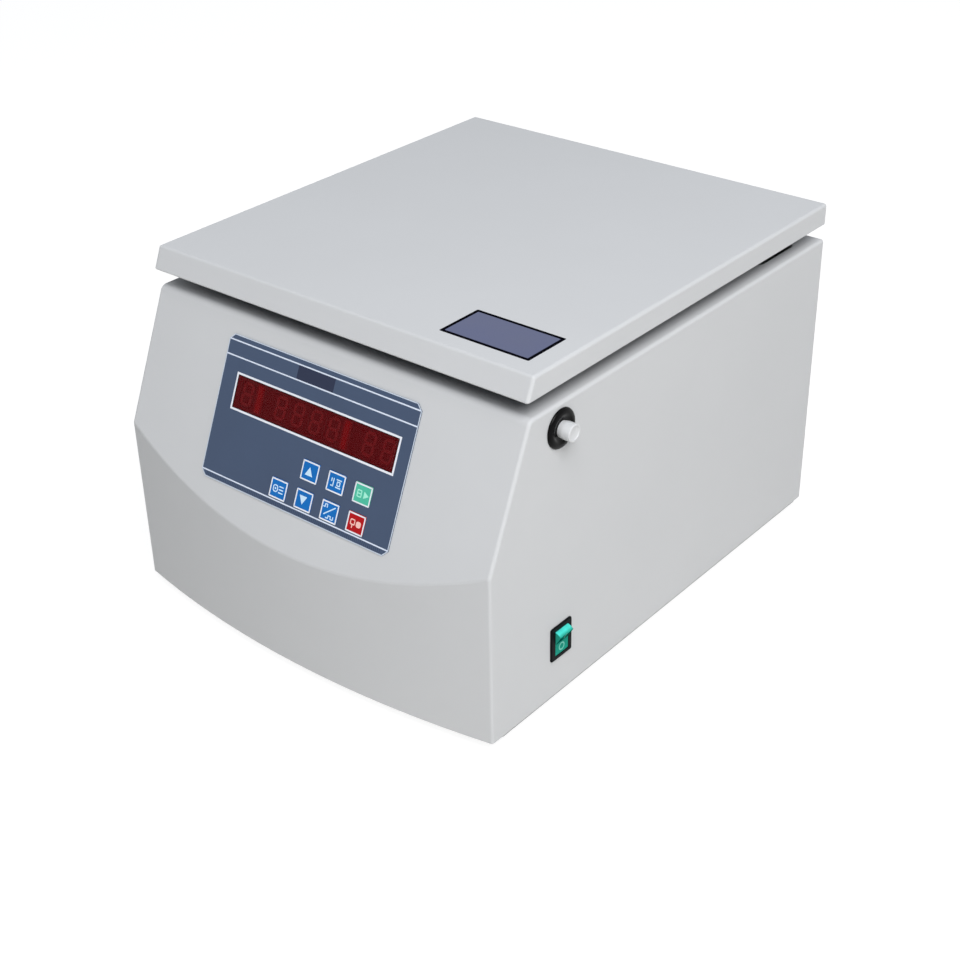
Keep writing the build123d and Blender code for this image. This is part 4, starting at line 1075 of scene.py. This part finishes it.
@dataclass
class Latch(SubAssembly):
    """The lid's latch, with its wound spring and the release knob.

    Attributes:
        wire: Diameter of the spring's wire.
        turns: Turns of the spring.
        dish_radius: Radius of the dished end in the knob, up to its rim.
        dish_depth: From the rim down to the dish's middle.
        dish_thickness: Its thickness.
        dish_share: How much higher its edge is than its middle, as a share of the depth.
        dish_steps: Faces from its edge to its middle.
        ring_height: How far the ring round the knob stands over the wall.
        ring_round: Width and height of its rounded outside.
        ring_slope: Width of its dished inside.
        ring_floor: Height of its floor.
        ring_foot: How far its outside draws in at the wall.
        ring_bore: Radius of the hole for the rod.
        ring_steps: Faces over the rounded outside, and as many over the dished inside.
        ring_sides: Faces round the ring.
        neck: Radius and length of its neck inside the wall.
        nut: Radius and height of the nut on the neck.
        wall: Thickness of the wall between the ring and the nut.
    """

    wire: float = 1.1
    turns: float = 9.0
    dish_radius: float = 5.6
    dish_depth: float = 1.3
    dish_thickness: float = 2.0
    dish_share: float = 0.55
    dish_steps: int = 5
    ring_height: float = 3.2
    ring_round: Pair = (4.6, 2.9)
    ring_slope: float = 4.4
    ring_floor: float = 1.9
    ring_foot: float = 0.3
    ring_bore: float = 3.05
    ring_steps: int = 8
    ring_sides: int = 64
    neck: Pair = (6.4, 8.0)
    nut: Pair = (10.0, 3.0)
    wall: float = 2.0
    steel: Finish = Finish(
        "latch_steel", (165, 167, 170), 0.28, 1.0, Texture.LINES, tone=0.06, grain=0.3, relief=0.002
    )
    cap: Finish = Finish(
        "white_knob_plastic", (214, 215, 217), 0.36, tone=0.015, grain=0.8, relief=0.004, specular=0.3
    )
    sensor: Finish = Finish("sensor_plastic", (32, 33, 35), 0.5, grain=0.5)

    def spring(self) -> None:
        """Winds the latch's spring, which shortens as the bolt is drawn back."""
        coiled = wound("latch_spring", self.wire, self.turns)
        spring = coiled.cast("wound_latch_spring", self.body, Hinges.steel, slot="spring_steel")
        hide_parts("latch_spring")
        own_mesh(spring)

    def ring_profile(self, outside: float) -> list[Pair]:
        """Draws half the section of the ring round the knob, with its neck and its nut.

        Args:
            outside: The ring's radius.

        Returns:
            Points of radius and height over the wall, from the bore round to the bore.
        """
        wide, tall = self.ring_round
        ridge = outside - wide
        neck, length = self.neck
        nut, nut_height = self.nut
        bottom = -self.wall - nut_height
        profile = [(self.ring_bore, -length), (neck, -length), (neck, bottom), (nut, bottom)]
        profile += [(nut, -self.wall), (neck, -self.wall), (neck, 0.0), (outside - self.ring_foot, 0.0)]
        shares = [step / self.ring_steps for step in range(self.ring_steps + 1)]
        for share in shares:
            angle = pi / 2 * share
            profile.append((ridge + wide * cos(angle), self.ring_height - tall * (1 - sin(angle))))
        drop = (self.ring_height - self.ring_floor) / 2
        for share in shares[1:]:
            height = self.ring_height - drop * (1 - cos(pi * share))
            profile.append((ridge - self.ring_slope * share, height))
        return profile + [(self.ring_bore, self.ring_floor), (self.ring_bore, -length)]

    def ring(self) -> None:
        """Turns the ring round the knob in the place of its packed form."""
        low, high = corners("knob_bezel")
        middle = (low + high) / 2
        profile = self.ring_profile((high.y - low.y) / 2)
        mould = Mould()
        base = Vector((high.x - self.ring_height, middle.y, middle.z))
        mould.add(turned(profile, self.ring_sides), along_x(base))
        ring = mould.cast("rounded_bezel", self.body, BLACK_GLOSS, slot="bezel_plastic")
        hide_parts("knob_bezel")

    def dish(self) -> None:
        """Closes the knob's hollow end with a shallow dish, a little under its rim."""
        low, high = corners("release_knob")
        middle = (low + high) / 2
        profile = [(0.0, -self.dish_thickness), (self.dish_radius, -self.dish_thickness)]
        for step in range(self.dish_steps + 1):
            share = 1 - step / self.dish_steps
            depth = self.dish_depth * (1 - self.dish_share * share**2)
            profile.append((self.dish_radius * share, -depth))
        mould = Mould()
        mould.add(turned(profile), along_x(Vector((high.x, middle.y, middle.z))))
        mould.cast("knob_dish", "latch", self.cap, slot="knob_plastic")

    def build(self) -> None:
        """Dresses the latch, turns its ring, closes its knob and winds its spring."""
        dress(ZINC, "lid_striker", "latch_bracket")
        dress(self.steel, "latch_bolt", "pull_rod")
        dress(self.sensor, "lid_sensor")
        dress(self.cap, "release_knob")
        self.ring()
        self.dish()
        self.spring()


@dataclass
class Chamber(SubAssembly):
    """The spun bowl with its seal and the boot round the shaft."""

    def build(self) -> None:
        """Dresses the chamber, with its rings about the shaft."""
        middle = tuple(centre_of("drive_shaft"))
        spun = Finish(
            "spun_steel", (196, 198, 200), 0.3, 1.0, Texture.RINGS, tone=0.1, gloss=0.08, grain=0.7,
            relief=0.004, centre=middle,
        )
        rubber = Finish("seal_rubber", (30, 30, 32), 0.6, tone=0.1, grain=0.7, relief=0.02, specular=0.35)
        dress(spun, "chamber_bowl")
        dress(rubber, "bowl_gasket", "shaft_boot")


@dataclass
class Rotor(SubAssembly):
    """The swing-out rotor, with a number at each place.

    Attributes:
        places: How many buckets it carries.
        number_height: Height of the figures.
        number_radius: From the shaft to a figure's middle.
    """

    body: ClassVar[str] = "rotor"
    places: int = 4
    number_height: float = 8.0
    number_radius: float = 42.5
    ink: Finish = Finish("engraving_ink", (28, 29, 31), 0.6, tone=0.05, grain=0.4, relief=0.002)

    def turned_metal(self, name: str, colour: Rgb, roughness: float, centre: Vector, **rest: float) -> Finish:
        """Returns the finish of metal that was turned about an upright axis.

        Args:
            name: The finish's name.
            colour: Its colour.
            roughness: Its roughness.
            centre: A point on the axis.
            **rest: Other values of the finish.
        """
        values = {"tone": 0.06, "gloss": 0.05, "grain": 0.5, "relief": 0.003} | rest
        return Finish(name, colour, roughness, 1.0, Texture.RINGS, centre=tuple(centre), **values)

    def numbers(self) -> None:
        """Prints the places' numbers on the yoke."""
        shaft = centre_of("drive_shaft")
        mould = Mould()
        for place in range(self.places):
            angle = radians(360 / self.places * place)
            out = Vector((cos(angle), sin(angle), 0))
            across = UPWARDS.cross(out)
            over = shaft + out * self.number_radius + UPWARDS * CLEAR
            seat = Facing(across, -out).landed("rotor_yoke", over)
            figure = numeral(str(place + 1), self.number_height)
            mould.add(figure, seat @ Matrix.Translation((0, 0, -PRINT_SINK)))
        mould.cast("rotor_numbers", self.body, self.ink)

    def build(self) -> None:
        """Dresses the rotor and its buckets."""
        shaft = centre_of("drive_shaft")
        dress(self.turned_metal("rotor_alloy", (176, 179, 183), 0.36, shaft), "rotor_yoke")
        dress(self.turned_metal("nut_alloy", (60, 62, 66), 0.34, shaft), "rotor_nut")
        dress(self.turned_metal("shaft_steel", (190, 191, 193), 0.2, shaft, grain=0.2), "drive_shaft")
        dress(Latch.steel, "trunnion_pins")
        dress(Finish("magnet_iron", (70, 71, 73), 0.5, 1.0, grain=1.0), "magnet_rotor")
        for number in range(1, self.places + 1):
            node = f"bucket_{number}"
            middle = centre_of(node)
            alloy = self.turned_metal(f"bucket_alloy_{number}", (188, 191, 194), 0.3, middle, tone=0.08)
            dress(alloy, node)
        self.numbers()


@dataclass
class Drive(SubAssembly):
    """The motor with its mounts, and the drive's electronics."""

    casting: Finish = Finish("motor_casting", (146, 148, 151), 0.52, 1.0, tone=0.06, grain=0.8, relief=0.02)
    iron: Finish = Finish("stator_iron", (88, 84, 80), 0.5, 1.0, Texture.LINES, grain=0.5, turn=(0, 90, 0))
    bearing: Finish = Finish("bearing_steel", (186, 187, 189), 0.22, 1.0, grain=0.5, relief=0.002)
    damper: Finish = Finish(
        "damper_rubber", (26, 26, 27), 0.7, tone=0.1, grain=0.8, relief=0.02, specular=0.3
    )
    board: Finish = Finish(
        "circuit_board", (24, 78, 48), 0.36, tone=0.1, patch=12, grain=0.9, relief=0.02, coat=0.3
    )
    sink: Finish = Finish(
        "heat_sink_alloy", (40, 41, 43), 0.42, 0.9, Texture.LINES, grain=0.5, turn=(0, 0, 90)
    )

    def build(self) -> None:
        """Dresses the motor and the electronics."""
        dress(self.casting, "motor_housing")
        dress(self.iron, "motor_stator")
        dress(self.bearing, "motor_bearings")
        dress(ZINC, "motor_plate")
        dress(self.damper, "motor_dampers")
        dress(self.board, "drive_board", "control_board")
        dress(self.sink, "heat_sink")


@dataclass
class ControlFace(SubAssembly):
    """The printed overlay, the keys and the display on the slanted face.

    Attributes:
        outline: Width of the pale line along the overlay's edge.
        outline_cut: How much of each corner it cuts off.
        line: Width of the white lines.
        lines_below_top: Places of the upper lines, below the overlay's top edge.
        line_over_bottom: Place of the lower line, over the bottom edge.
        field_span: Where the plain dark field between the upper lines starts and ends, from the middle.
        strip_pitch: From bar to bar in the hatched strip.
        strip_bar: Width of one of its bars.
        key_border: Width of the white border on a key.
        key_corner: Radius of its corners.
        flange: How far the rim that holds a key reaches past it.
    """

    outline: float = 0.9
    outline_cut: float = 5.5
    line: float = 1.25
    lines_below_top: Pair = (5.4, 19.0)
    line_over_bottom: float = 6.1
    field_span: Pair = (-26.7, 17.0)
    strip_pitch: float = 2.2
    strip_bar: float = 0.8
    key_border: float = 1.3
    key_corner: float = 0.8
    flange: float = 1.0
    film: Finish = Finish(
        "slate_film", (72, 86, 111), 0.4, tone=0.03, patch=60, grain=0.5, relief=0.004, specular=0.15
    )
    strip_ink: Finish = ink("dark_strip_ink", (56, 68, 92), roughness=0.4, tone=0.03, specular=0.15)
    field_ink: Finish = ink("dark_field_ink", (46, 53, 76), roughness=0.4, tone=0.03, specular=0.15)
    line_ink: Finish = ink("line_ink", (220, 229, 246))
    pale_ink: Finish = ink("pale_ink", (206, 216, 230))
    # painted shadow: the ink of the dark line inside the window's border
    painted_shadow_ink: Finish = ink("window_painted_shadow_ink", (26, 3, 6), roughness=0.4, relief=0.002, specular=0.1)
    icons: dict[str, Icon] = field(default_factory=lambda: {
        "key_up": Icon.UP,
        "key_down": Icon.DOWN,
        "key_select": Icon.SELECT,
        "key_set": Icon.SET,
        "key_pulse": Icon.PULSE,
        "key_start": Icon.START,
        "key_stop": Icon.STOP,
    })
    key_colours: dict[str, Rgb] = field(default_factory=lambda: {
        "blue": (18, 109, 189),
        "green": (82, 194, 164),
        "red": (180, 14, 22),
    })
    ink_colours: dict[str, Rgb] = field(default_factory=lambda: {
        "blue": (206, 234, 255),
        "green": (166, 240, 216),
        "red": (250, 196, 186),
    })

    def __post_init__(self) -> None:
        """Finds the face's own directions from the keys that sit in it."""
        rise = (centre_of("key_up") - centre_of("key_down")).normalized()
        self.facing = Facing(LEFT_TO_RIGHT, rise)

    def print_overlay(self) -> None:
        """Prints the overlay's outline, its lines, the dark field and the hatched strip at its bottom."""
        seat = self.facing.over("panel_overlay")
        half = seat.height / 2
        mould = Mould()
        edge = hollowed(rectangle(seat.width, seat.height, self.outline_cut, 1), self.outline)
        mould.add(thicken(edge, PRINT_HEIGHT), seat.at(0, 0), 1)
        inside = seat.width - 2 * self.outline
        heights = [half - below for below in self.lines_below_top] + [self.line_over_bottom - half]
        for y in heights:
            mould.add(thicken(rectangle(inside, self.line), PRINT_HEIGHT), seat.at(0, y))
        start, end = self.field_span
        top, bottom = heights[:2]
        field = thicken(rectangle(end - start, top - bottom), UNDER_PRINT)
        mould.add(field, seat.at((start + end) / 2, (top + bottom) / 2), 3)
        low = self.outline - half
        tall = self.line_over_bottom - self.line / 2 - self.outline
        wide = inside - 2 * self.outline_cut
        for step in range(int(wide / self.strip_pitch)):
            x = -wide / 2 + (step + 0.5) * self.strip_pitch
            bar = thicken(rectangle(self.strip_bar, tall), UNDER_PRINT)
            mould.add(bar, seat.at(x, low + tall / 2), 2)
        mould.cast("overlay_print", self.body, self.line_ink, self.pale_ink, self.strip_ink, self.field_ink)

    def mark_key(self, node: str, icon: Icon) -> None:
        """Prints a key's border and its icon.

        Args:
            node: The key.
            icon: Its icon.
        """
        colour = {"key_start": "green", "key_stop": "red"}.get(node, "blue")
        tint = self.key_colours[colour]
        dress(Finish(f"{colour}_key_film", tint, 0.36, tone=0.05, patch=16, specular=0.15), node)
        icon_ink = ink(f"{colour}_key_ink", self.ink_colours[colour], relief=0.002, specular=0.5)
        over = centre_of(node) + self.facing.out * CLEAR
        seat = Seat(self.facing.landed(node, over), *self.key_size(node))
        mould = Mould()
        border = hollowed(rectangle(seat.width, seat.height, self.key_corner), self.key_border)
        mould.add(thicken(border, PRINT_HEIGHT), seat.at(0, 0))
        for mark in icon.value:
            mould.add(thicken(mark.shape(), PRINT_HEIGHT), seat.at(mark.x, mark.y, turn=mark.turn), 1)
        mould.cast(f"{node}_print", node, WHITE_INK, icon_ink)

    def key_size(self, node: str) -> Pair:
        """Returns the width and height of a key's pad, which is narrower than its flange."""
        seat = self.facing.over(node)
        return seat.width - 2 * self.flange, seat.height - 2 * self.flange

    def build(self) -> None:
        """Dresses and prints the overlay and the keys."""
        dress(self.film, "panel_overlay")
        self.print_overlay()
        for node, icon in self.icons.items():
            self.mark_key(node, icon)
        Display(self.facing).build()


@dataclass
class Display(SubAssembly):
    """The tinted window with the digits behind it.

    Attributes:
        facing: The slanted face's directions.
        border: Width of the white border.
        overlap: How far the border reaches past the window.
        shadow_line: Width and height of the painted shadow line inside the border.
        digit_starts: First digit of each group, right of the window's middle, and how many it has.
        digit_pitch: From one digit to the next.
        digit_size: Width and height of a digit, to the middle of its segments.
        segment: Width of a segment.
        segment_gap: Room between two segments.
        segment_height: How far they stand out.
        tip_share: How much of each tip is cut away, as a share of the width.
        mask_side: Width of the dark mask under the pane's edge.
        mask_left: How much wider it is on the left.
        mask_depth: Its thickness.
        slant: Lean of the digits.
        bars: Middles of the two bright bars between the groups.
        bar_size: Width and height of a bar.
        bar_heights: Heights of the bars and of the strips round them.
        bar_corner: Radius of their corners.
        halo_width: Width of the dimmer strip round a bar, which is a painted halo of light.
        lamp_place: Middle of the small indicator lamp, from the window's middle.
        lamp_radius: Its radius.
        lamp_sides: Faces round it.
    """

    facing: Facing
    border: float = 1.9
    overlap: Pair = (1.1, 0.7)
    shadow_line: Pair = (0.7, 0.036)
    mask_side: float = 3.8
    mask_left: float = 2.4
    mask_depth: float = 0.04
    digit_starts: tuple = ((-83.6, 1), (-41.2, 4), (63.6, 2))
    digit_pitch: float = 21.05
    digit_size: Pair = (10.2, 19.2)
    segment: float = 2.8
    segment_gap: float = 0.3
    segment_height: float = 0.12
    tip_share: float = 0.49
    slant: float = 4.0
    bars: Pair = (-68.0, 36.8)
    bar_size: Pair = (5.2, 29.0)
    bar_heights: Pair = (1.0, 0.7)
    bar_corner: float = 1.0
    halo_width: float = 9.4
    lamp_place: Pair = (93.1, -14.1)
    lamp_radius: float = 0.9
    lamp_sides: int = 16
    pane: Finish = Finish(
        "red_pane", (98, 8, 14), 0.12, tone=0.02, grain=3.0, relief=0.001, specular=0.08, alpha=0.55
    )
    module: Finish = Finish("digit_block_plastic", (132, 18, 24), 0.5, tone=0.05, grain=0.5, specular=0.1)
    # The segments give off a little painted light, though the display is off.
    segments: Finish = Finish(
        "digit_segments", (208, 66, 70), 0.4, tone=0.06, patch=8, grain=0.5, specular=0.1, painted_glow=0.12
    )
    # The bars and the dimmer strips round them give off painted light, though no lamp lights them; the strips
    # are a painted halo.
    bar: Finish = Finish(
        "display_bars", (236, 26, 26), 0.4, tone=0.12, patch=10, grain=0.6, specular=0.1, painted_glow=0.2
    )
    halo: Finish = Finish(
        "bar_halo", (186, 24, 28), 0.4, tone=0.08, patch=10, grain=0.6, specular=0.1, painted_glow=0.06
    )
    mask: Finish = Finish("window_mask", (88, 16, 20), 0.6, tone=0.02, grain=0.5, specular=0.1)
    lamp: Finish = Finish("indicator_lamp", (196, 176, 96), 0.35, grain=0.5)

    def digit(self, mould: Mould, place: Matrix) -> None:
        """Adds the seven segments of one digit.

        Args:
            mould: The mould of the digits.
            place: The digit's middle.
        """
        width, height = self.digit_size
        lean = Matrix(((1, tan(radians(self.slant)), 0, 0), (0, 1, 0, 0), (0, 0, 1, 0), (0, 0, 0, 1)))
        across = (width - 2 * self.segment_gap, self.segment)
        upright = (self.segment, height / 2 - 2 * self.segment_gap)
        parts = [(0, y, across) for y in (-height / 2, 0, height / 2)]
        parts += [(x, y, upright) for x in (-width / 2, width / 2) for y in (-height / 4, height / 4)]
        for x, y, size in parts:
            bar = thicken(rectangle(*size, self.segment * self.tip_share, 1), self.segment_height)
            mould.add(bar, place @ lean @ Matrix.Translation((x, y, 0)))

    def frame_window(self, window: Seat) -> None:
        """Prints the border on the window, the painted shadow line inside it and the dark mask under its
        edge.

        Args:
            window: The window's top.
        """
        border = Mould()
        wide, tall = self.overlap
        width, height = window.width + 2 * wide, window.height + 2 * tall
        border.add(thicken(hollowed(rectangle(width, height), self.border), PRINT_HEIGHT), window.at(0, 0))
        # painted shadow: a dark line inside the border, where the window's recess is shaded
        line, line_height = self.shadow_line
        shade = hollowed(rectangle(width - 2 * self.border, height - 2 * self.border), line)
        border.add(thicken(shade, line_height), window.at(0, 0), 1)
        border.cast("window_border", self.body, WHITE_INK, ControlFace.painted_shadow_ink)
        pane_depth = 2 * self.facing.out.dot(window.place.translation - centre_of("display_window"))
        sink = pane_depth - self.mask_depth
        mask = Mould()
        cover = hollowed(rectangle(window.width, window.height), self.mask_side)
        mask.add(thicken(cover, self.mask_depth), window.at(0, 0, sink=sink))
        more = rectangle(self.mask_left, window.height - 2 * self.mask_side)
        left = self.mask_side + self.mask_left / 2 - window.width / 2
        mask.add(thicken(more, self.mask_depth), window.at(left, 0, sink=sink))
        mask.cast("window_mask", self.body, self.mask)

    def fill_window(self, front: Matrix) -> None:
        """Puts the digits, the bars and the indicator lamp behind the window; the digits, the bars and the
        strips round the bars give off painted light.

        Args:
            front: The middle of the digit block's front.
        """
        digits = Mould()
        for start, count in self.digit_starts:
            for step in range(count):
                self.digit(digits, front @ Matrix.Translation((start + step * self.digit_pitch, 0, 0)))
        digits.cast("digit_segments", self.body, self.segments)
        width, height = self.bar_size
        bars = Mould()
        for x in self.bars:
            place = front @ Matrix.Translation((x, 0, 0))
            for wide, tall, finish in zip((width, self.halo_width), self.bar_heights, (0, 2)):
                bars.add(thicken(rectangle(wide, height, self.bar_corner), tall), place, finish)
        lamp = thicken(disc(self.lamp_radius, self.lamp_sides), self.bar_heights[0])
        bars.add(lamp, front @ Matrix.Translation((*self.lamp_place, 0)), 1)
        bars.cast("display_bars", self.body, self.bar, self.lamp, self.halo)

    def build(self) -> None:
        """Dresses the window and fills it."""
        dress(self.pane, "display_window")
        dress(self.module, "display_module")
        self.frame_window(self.facing.over("display_window"))
        self.fill_window(self.facing.over("display_module").at(0, 0))


@dataclass
class PowerSwitch(SubAssembly):
    """The rocker switch on the right side, with the plain ON and OFF marks.

    Attributes:
        mark_height: Height of the marks.
        mark_line: Width of their strokes.
        mark_place: From the rocker's middle to each mark.
        mark_sides: Faces round the OFF mark.
    """

    mark_height: float = 8.2
    mark_line: float = 1.4
    mark_place: float = 6.4
    mark_sides: int = 24
    plastic: Finish = BLACK_SATIN
    # The rocker's up-facing top is painted lighter as a painted highlight, and its down-facing faces darker
    # as painted shade.
    rocker: Finish = Finish(
        "teal_rocker_plastic", (40, 152, 132), 0.3, tone=0.08, patch=7, grain=1.5, relief=0.004, specular=0.0,
        ends=((0, 92, 78), (76, 218, 204)),
    )
    mark_ink: Finish = ink(
        "rocker_ink", (122, 204, 188), roughness=0.4, tone=0.03, relief=0.002, specular=0.0
    )

    def build(self) -> None:
        """Dresses the switch and prints its marks."""
        dress(self.plastic, "switch_bezel", "switch_body")
        dress(self.rocker, "switch_rocker")
        middle = centre_of("switch_rocker")
        mould = Mould()
        off = hollowed(disc(self.mark_height / 2, self.mark_sides), self.mark_line)
        on = rectangle(self.mark_line, self.mark_height)
        for mark, height in ((off, -self.mark_place), (on, self.mark_place)):
            over = middle + Vector((CLEAR, 0, height))
            seat = FROM_RIGHT.landed("switch_rocker", over)
            mould.add(thicken(mark, PRINT_HEIGHT), seat @ Matrix.Translation((0, 0, -PRINT_SINK)))
        mould.cast("rocker_marks", "power_rocker", self.mark_ink)


# Studio


@dataclass(frozen=True)
class Softbox:
    """A soft lamp that faces the machine. Its distances are metres.

    Attributes:
        name: The lamp's name.
        azimuth: Its direction, from the front towards the right.
        elevation: Its direction, over the horizon.
        distance: From the machine's middle.
        size: Its width and height.
        power: Its power in watts.
    """

    name: str
    azimuth: float
    elevation: float
    distance: float
    size: Pair
    power: float

    def build(self, target: Vector) -> None:
        """Puts the lamp up.

        Args:
            target: What it faces, in metres.
        """
        a, e = radians(self.azimuth), radians(self.elevation)
        towards = Vector((sin(a) * cos(e), -cos(a) * cos(e), sin(e)))
        data = bpy.data.lights.new(self.name, "AREA")
        data.shape = "RECTANGLE"
        data.size, data.size_y = self.size
        data.energy = self.power
        lamp = bpy.data.objects.new(self.name, data)
        lamp.matrix_world = towards.to_track_quat("Z", "Y").to_matrix().to_4x4()
        lamp.location = target + towards * self.distance
        bpy.context.scene.collection.objects.link(lamp)


@dataclass
class Studio:
    """The pale floor, the soft light and the camera. Its distances are metres.

    Attributes:
        camera_place: Where the camera stands.
        camera_azimuth: Its direction from the machine, from the front towards the right.
        camera_elevation: Its direction, over the horizon.
        camera_roll: Its small roll.
        camera_lens: Its focal length in millimetres.
        sky: Light that comes from the horizon and from straight above.
        sky_colour: Its colour.
        floor_radius: The floor's radius.
        floor_sides: How many sides it has.
        floor_shade: The floor's colour where it is lit, as the camera sees it.
        floor_lift: Even white that the camera sees over that.
        floor_bounce: The floor's colour for the light that it throws back.
        lamps: The lamps.
    """

    camera_place: Triple = (0.90397, -1.08473, 0.92023)
    camera_azimuth: float = 40.004
    camera_elevation: float = 30.731
    camera_roll: float = -1.175
    camera_lens: float = 61.842
    sky: Pair = (0.12, 0.36)
    sky_colour: Rgb = (236, 245, 255)
    floor_radius: float = 9.0
    floor_sides: int = 64
    floor_shade: float = 0.22
    floor_lift: float = 0.89
    floor_bounce: Rgb = (225, 222, 216)
    lamps: tuple[Softbox, ...] = (Softbox("key_lamp", 54.5, 49.0, 4.0, (2.5, 2.5), 154.0),)

    def seen(self, graph: Graph) -> bpy.types.NodeSocket:
        """Returns 1 for rays that see the background: straight, in a reflection or through glass."""
        path = graph.add("ShaderNodeLightPath").outputs
        direct = graph.sum("MAXIMUM", path["Is Camera Ray"], path["Is Glossy Ray"])
        return graph.sum("MAXIMUM", direct, path["Is Transmission Ray"])

    def build_world(self) -> None:
        """Makes the sky, which is dimmer at the horizon and which the camera sees as white."""
        world = bpy.data.worlds.new("studio_sky")
        world.use_nodes = True
        bpy.context.scene.world = world
        graph = Graph(world.node_tree)
        direction = graph.add("ShaderNodeTexCoord").outputs["Generated"]
        height = graph.add("ShaderNodeSeparateXYZ", {0: direction}).outputs["Z"]
        horizon, zenith = self.sky
        strength = graph.add("ShaderNodeMapRange", {"Value": height, 3: horizon, 4: zenith}).outputs[0]
        lit = graph.add("ShaderNodeBackground", {"Color": linear(self.sky_colour), "Strength": strength})
        white = graph.add("ShaderNodeBackground", {"Color": (1, 1, 1, 1), "Strength": 1.0})
        either = {0: self.seen(graph), 1: lit.outputs[0], 2: white.outputs[0]}
        mixed = graph.add("ShaderNodeMixShader", either)
        graph.add("ShaderNodeOutputWorld", {"Surface": mixed.outputs[0]})

    def build_floor(self) -> None:
        """Makes the floor, which keeps the machine's shadow and is white elsewhere."""
        flat = bmesh.new()
        bmesh.ops.create_circle(flat, cap_ends=True, segments=self.floor_sides, radius=self.floor_radius)
        floor = as_object(flat, "floor")
        made = bpy.data.materials.new("pale_floor")
        made.use_nodes = True
        graph = Graph(made.node_tree)
        bounce = graph.add("ShaderNodeBsdfDiffuse", {"Color": linear(self.floor_bounce)})
        shade = graph.add("ShaderNodeBsdfDiffuse", {"Color": (*[self.floor_shade] * 3, 1)})
        lift = graph.add("ShaderNodeEmission", {"Color": (1, 1, 1, 1), "Strength": self.floor_lift})
        look = graph.add("ShaderNodeAddShader", {0: shade.outputs[0], 1: lift.outputs[0]})
        either = {0: self.seen(graph), 1: bounce.outputs[0], 2: look.outputs[0]}
        mixed = graph.add("ShaderNodeMixShader", either)
        graph.add("ShaderNodeOutputMaterial", {"Surface": mixed.outputs[0]})
        floor.data.materials.append(made)

    def build_camera(self) -> None:
        """Puts up the camera at the photograph's viewing angle."""
        data = bpy.data.cameras.new("camera")
        data.lens = self.camera_lens
        camera = bpy.data.objects.new("camera", data)
        turn = Matrix.Rotation(radians(self.camera_azimuth), 4, "Z")
        tilt = Matrix.Rotation(radians(90 - self.camera_elevation), 4, "X")
        roll = Matrix.Rotation(radians(self.camera_roll), 4, "Z")
        camera.matrix_world = Matrix.Translation(self.camera_place) @ turn @ tilt @ roll
        bpy.context.scene.collection.objects.link(camera)
        bpy.context.scene.camera = camera

    def build(self) -> None:
        """Sets the floor, the light and the camera."""
        bpy.context.scene.view_settings.view_transform = "Standard"
        low, high = cad_box
        self.build_world()
        self.build_floor()
        self.build_camera()
        for lamp in self.lamps:
            lamp.build((low + high) / 2)
        log.info("the studio has %d lamps", len(self.lamps))


def main() -> None:
    """Builds the studio and each sub-assembly in turn."""
    logging.basicConfig(level=logging.INFO, format="%(name)s: %(message)s")
    Studio().build()
    for assembly in (Casing, Lid, Hinges, Latch, Chamber, Rotor, Drive, ControlFace, PowerSwitch):
        assembly().build()


if __name__ == "__main__":
    main()
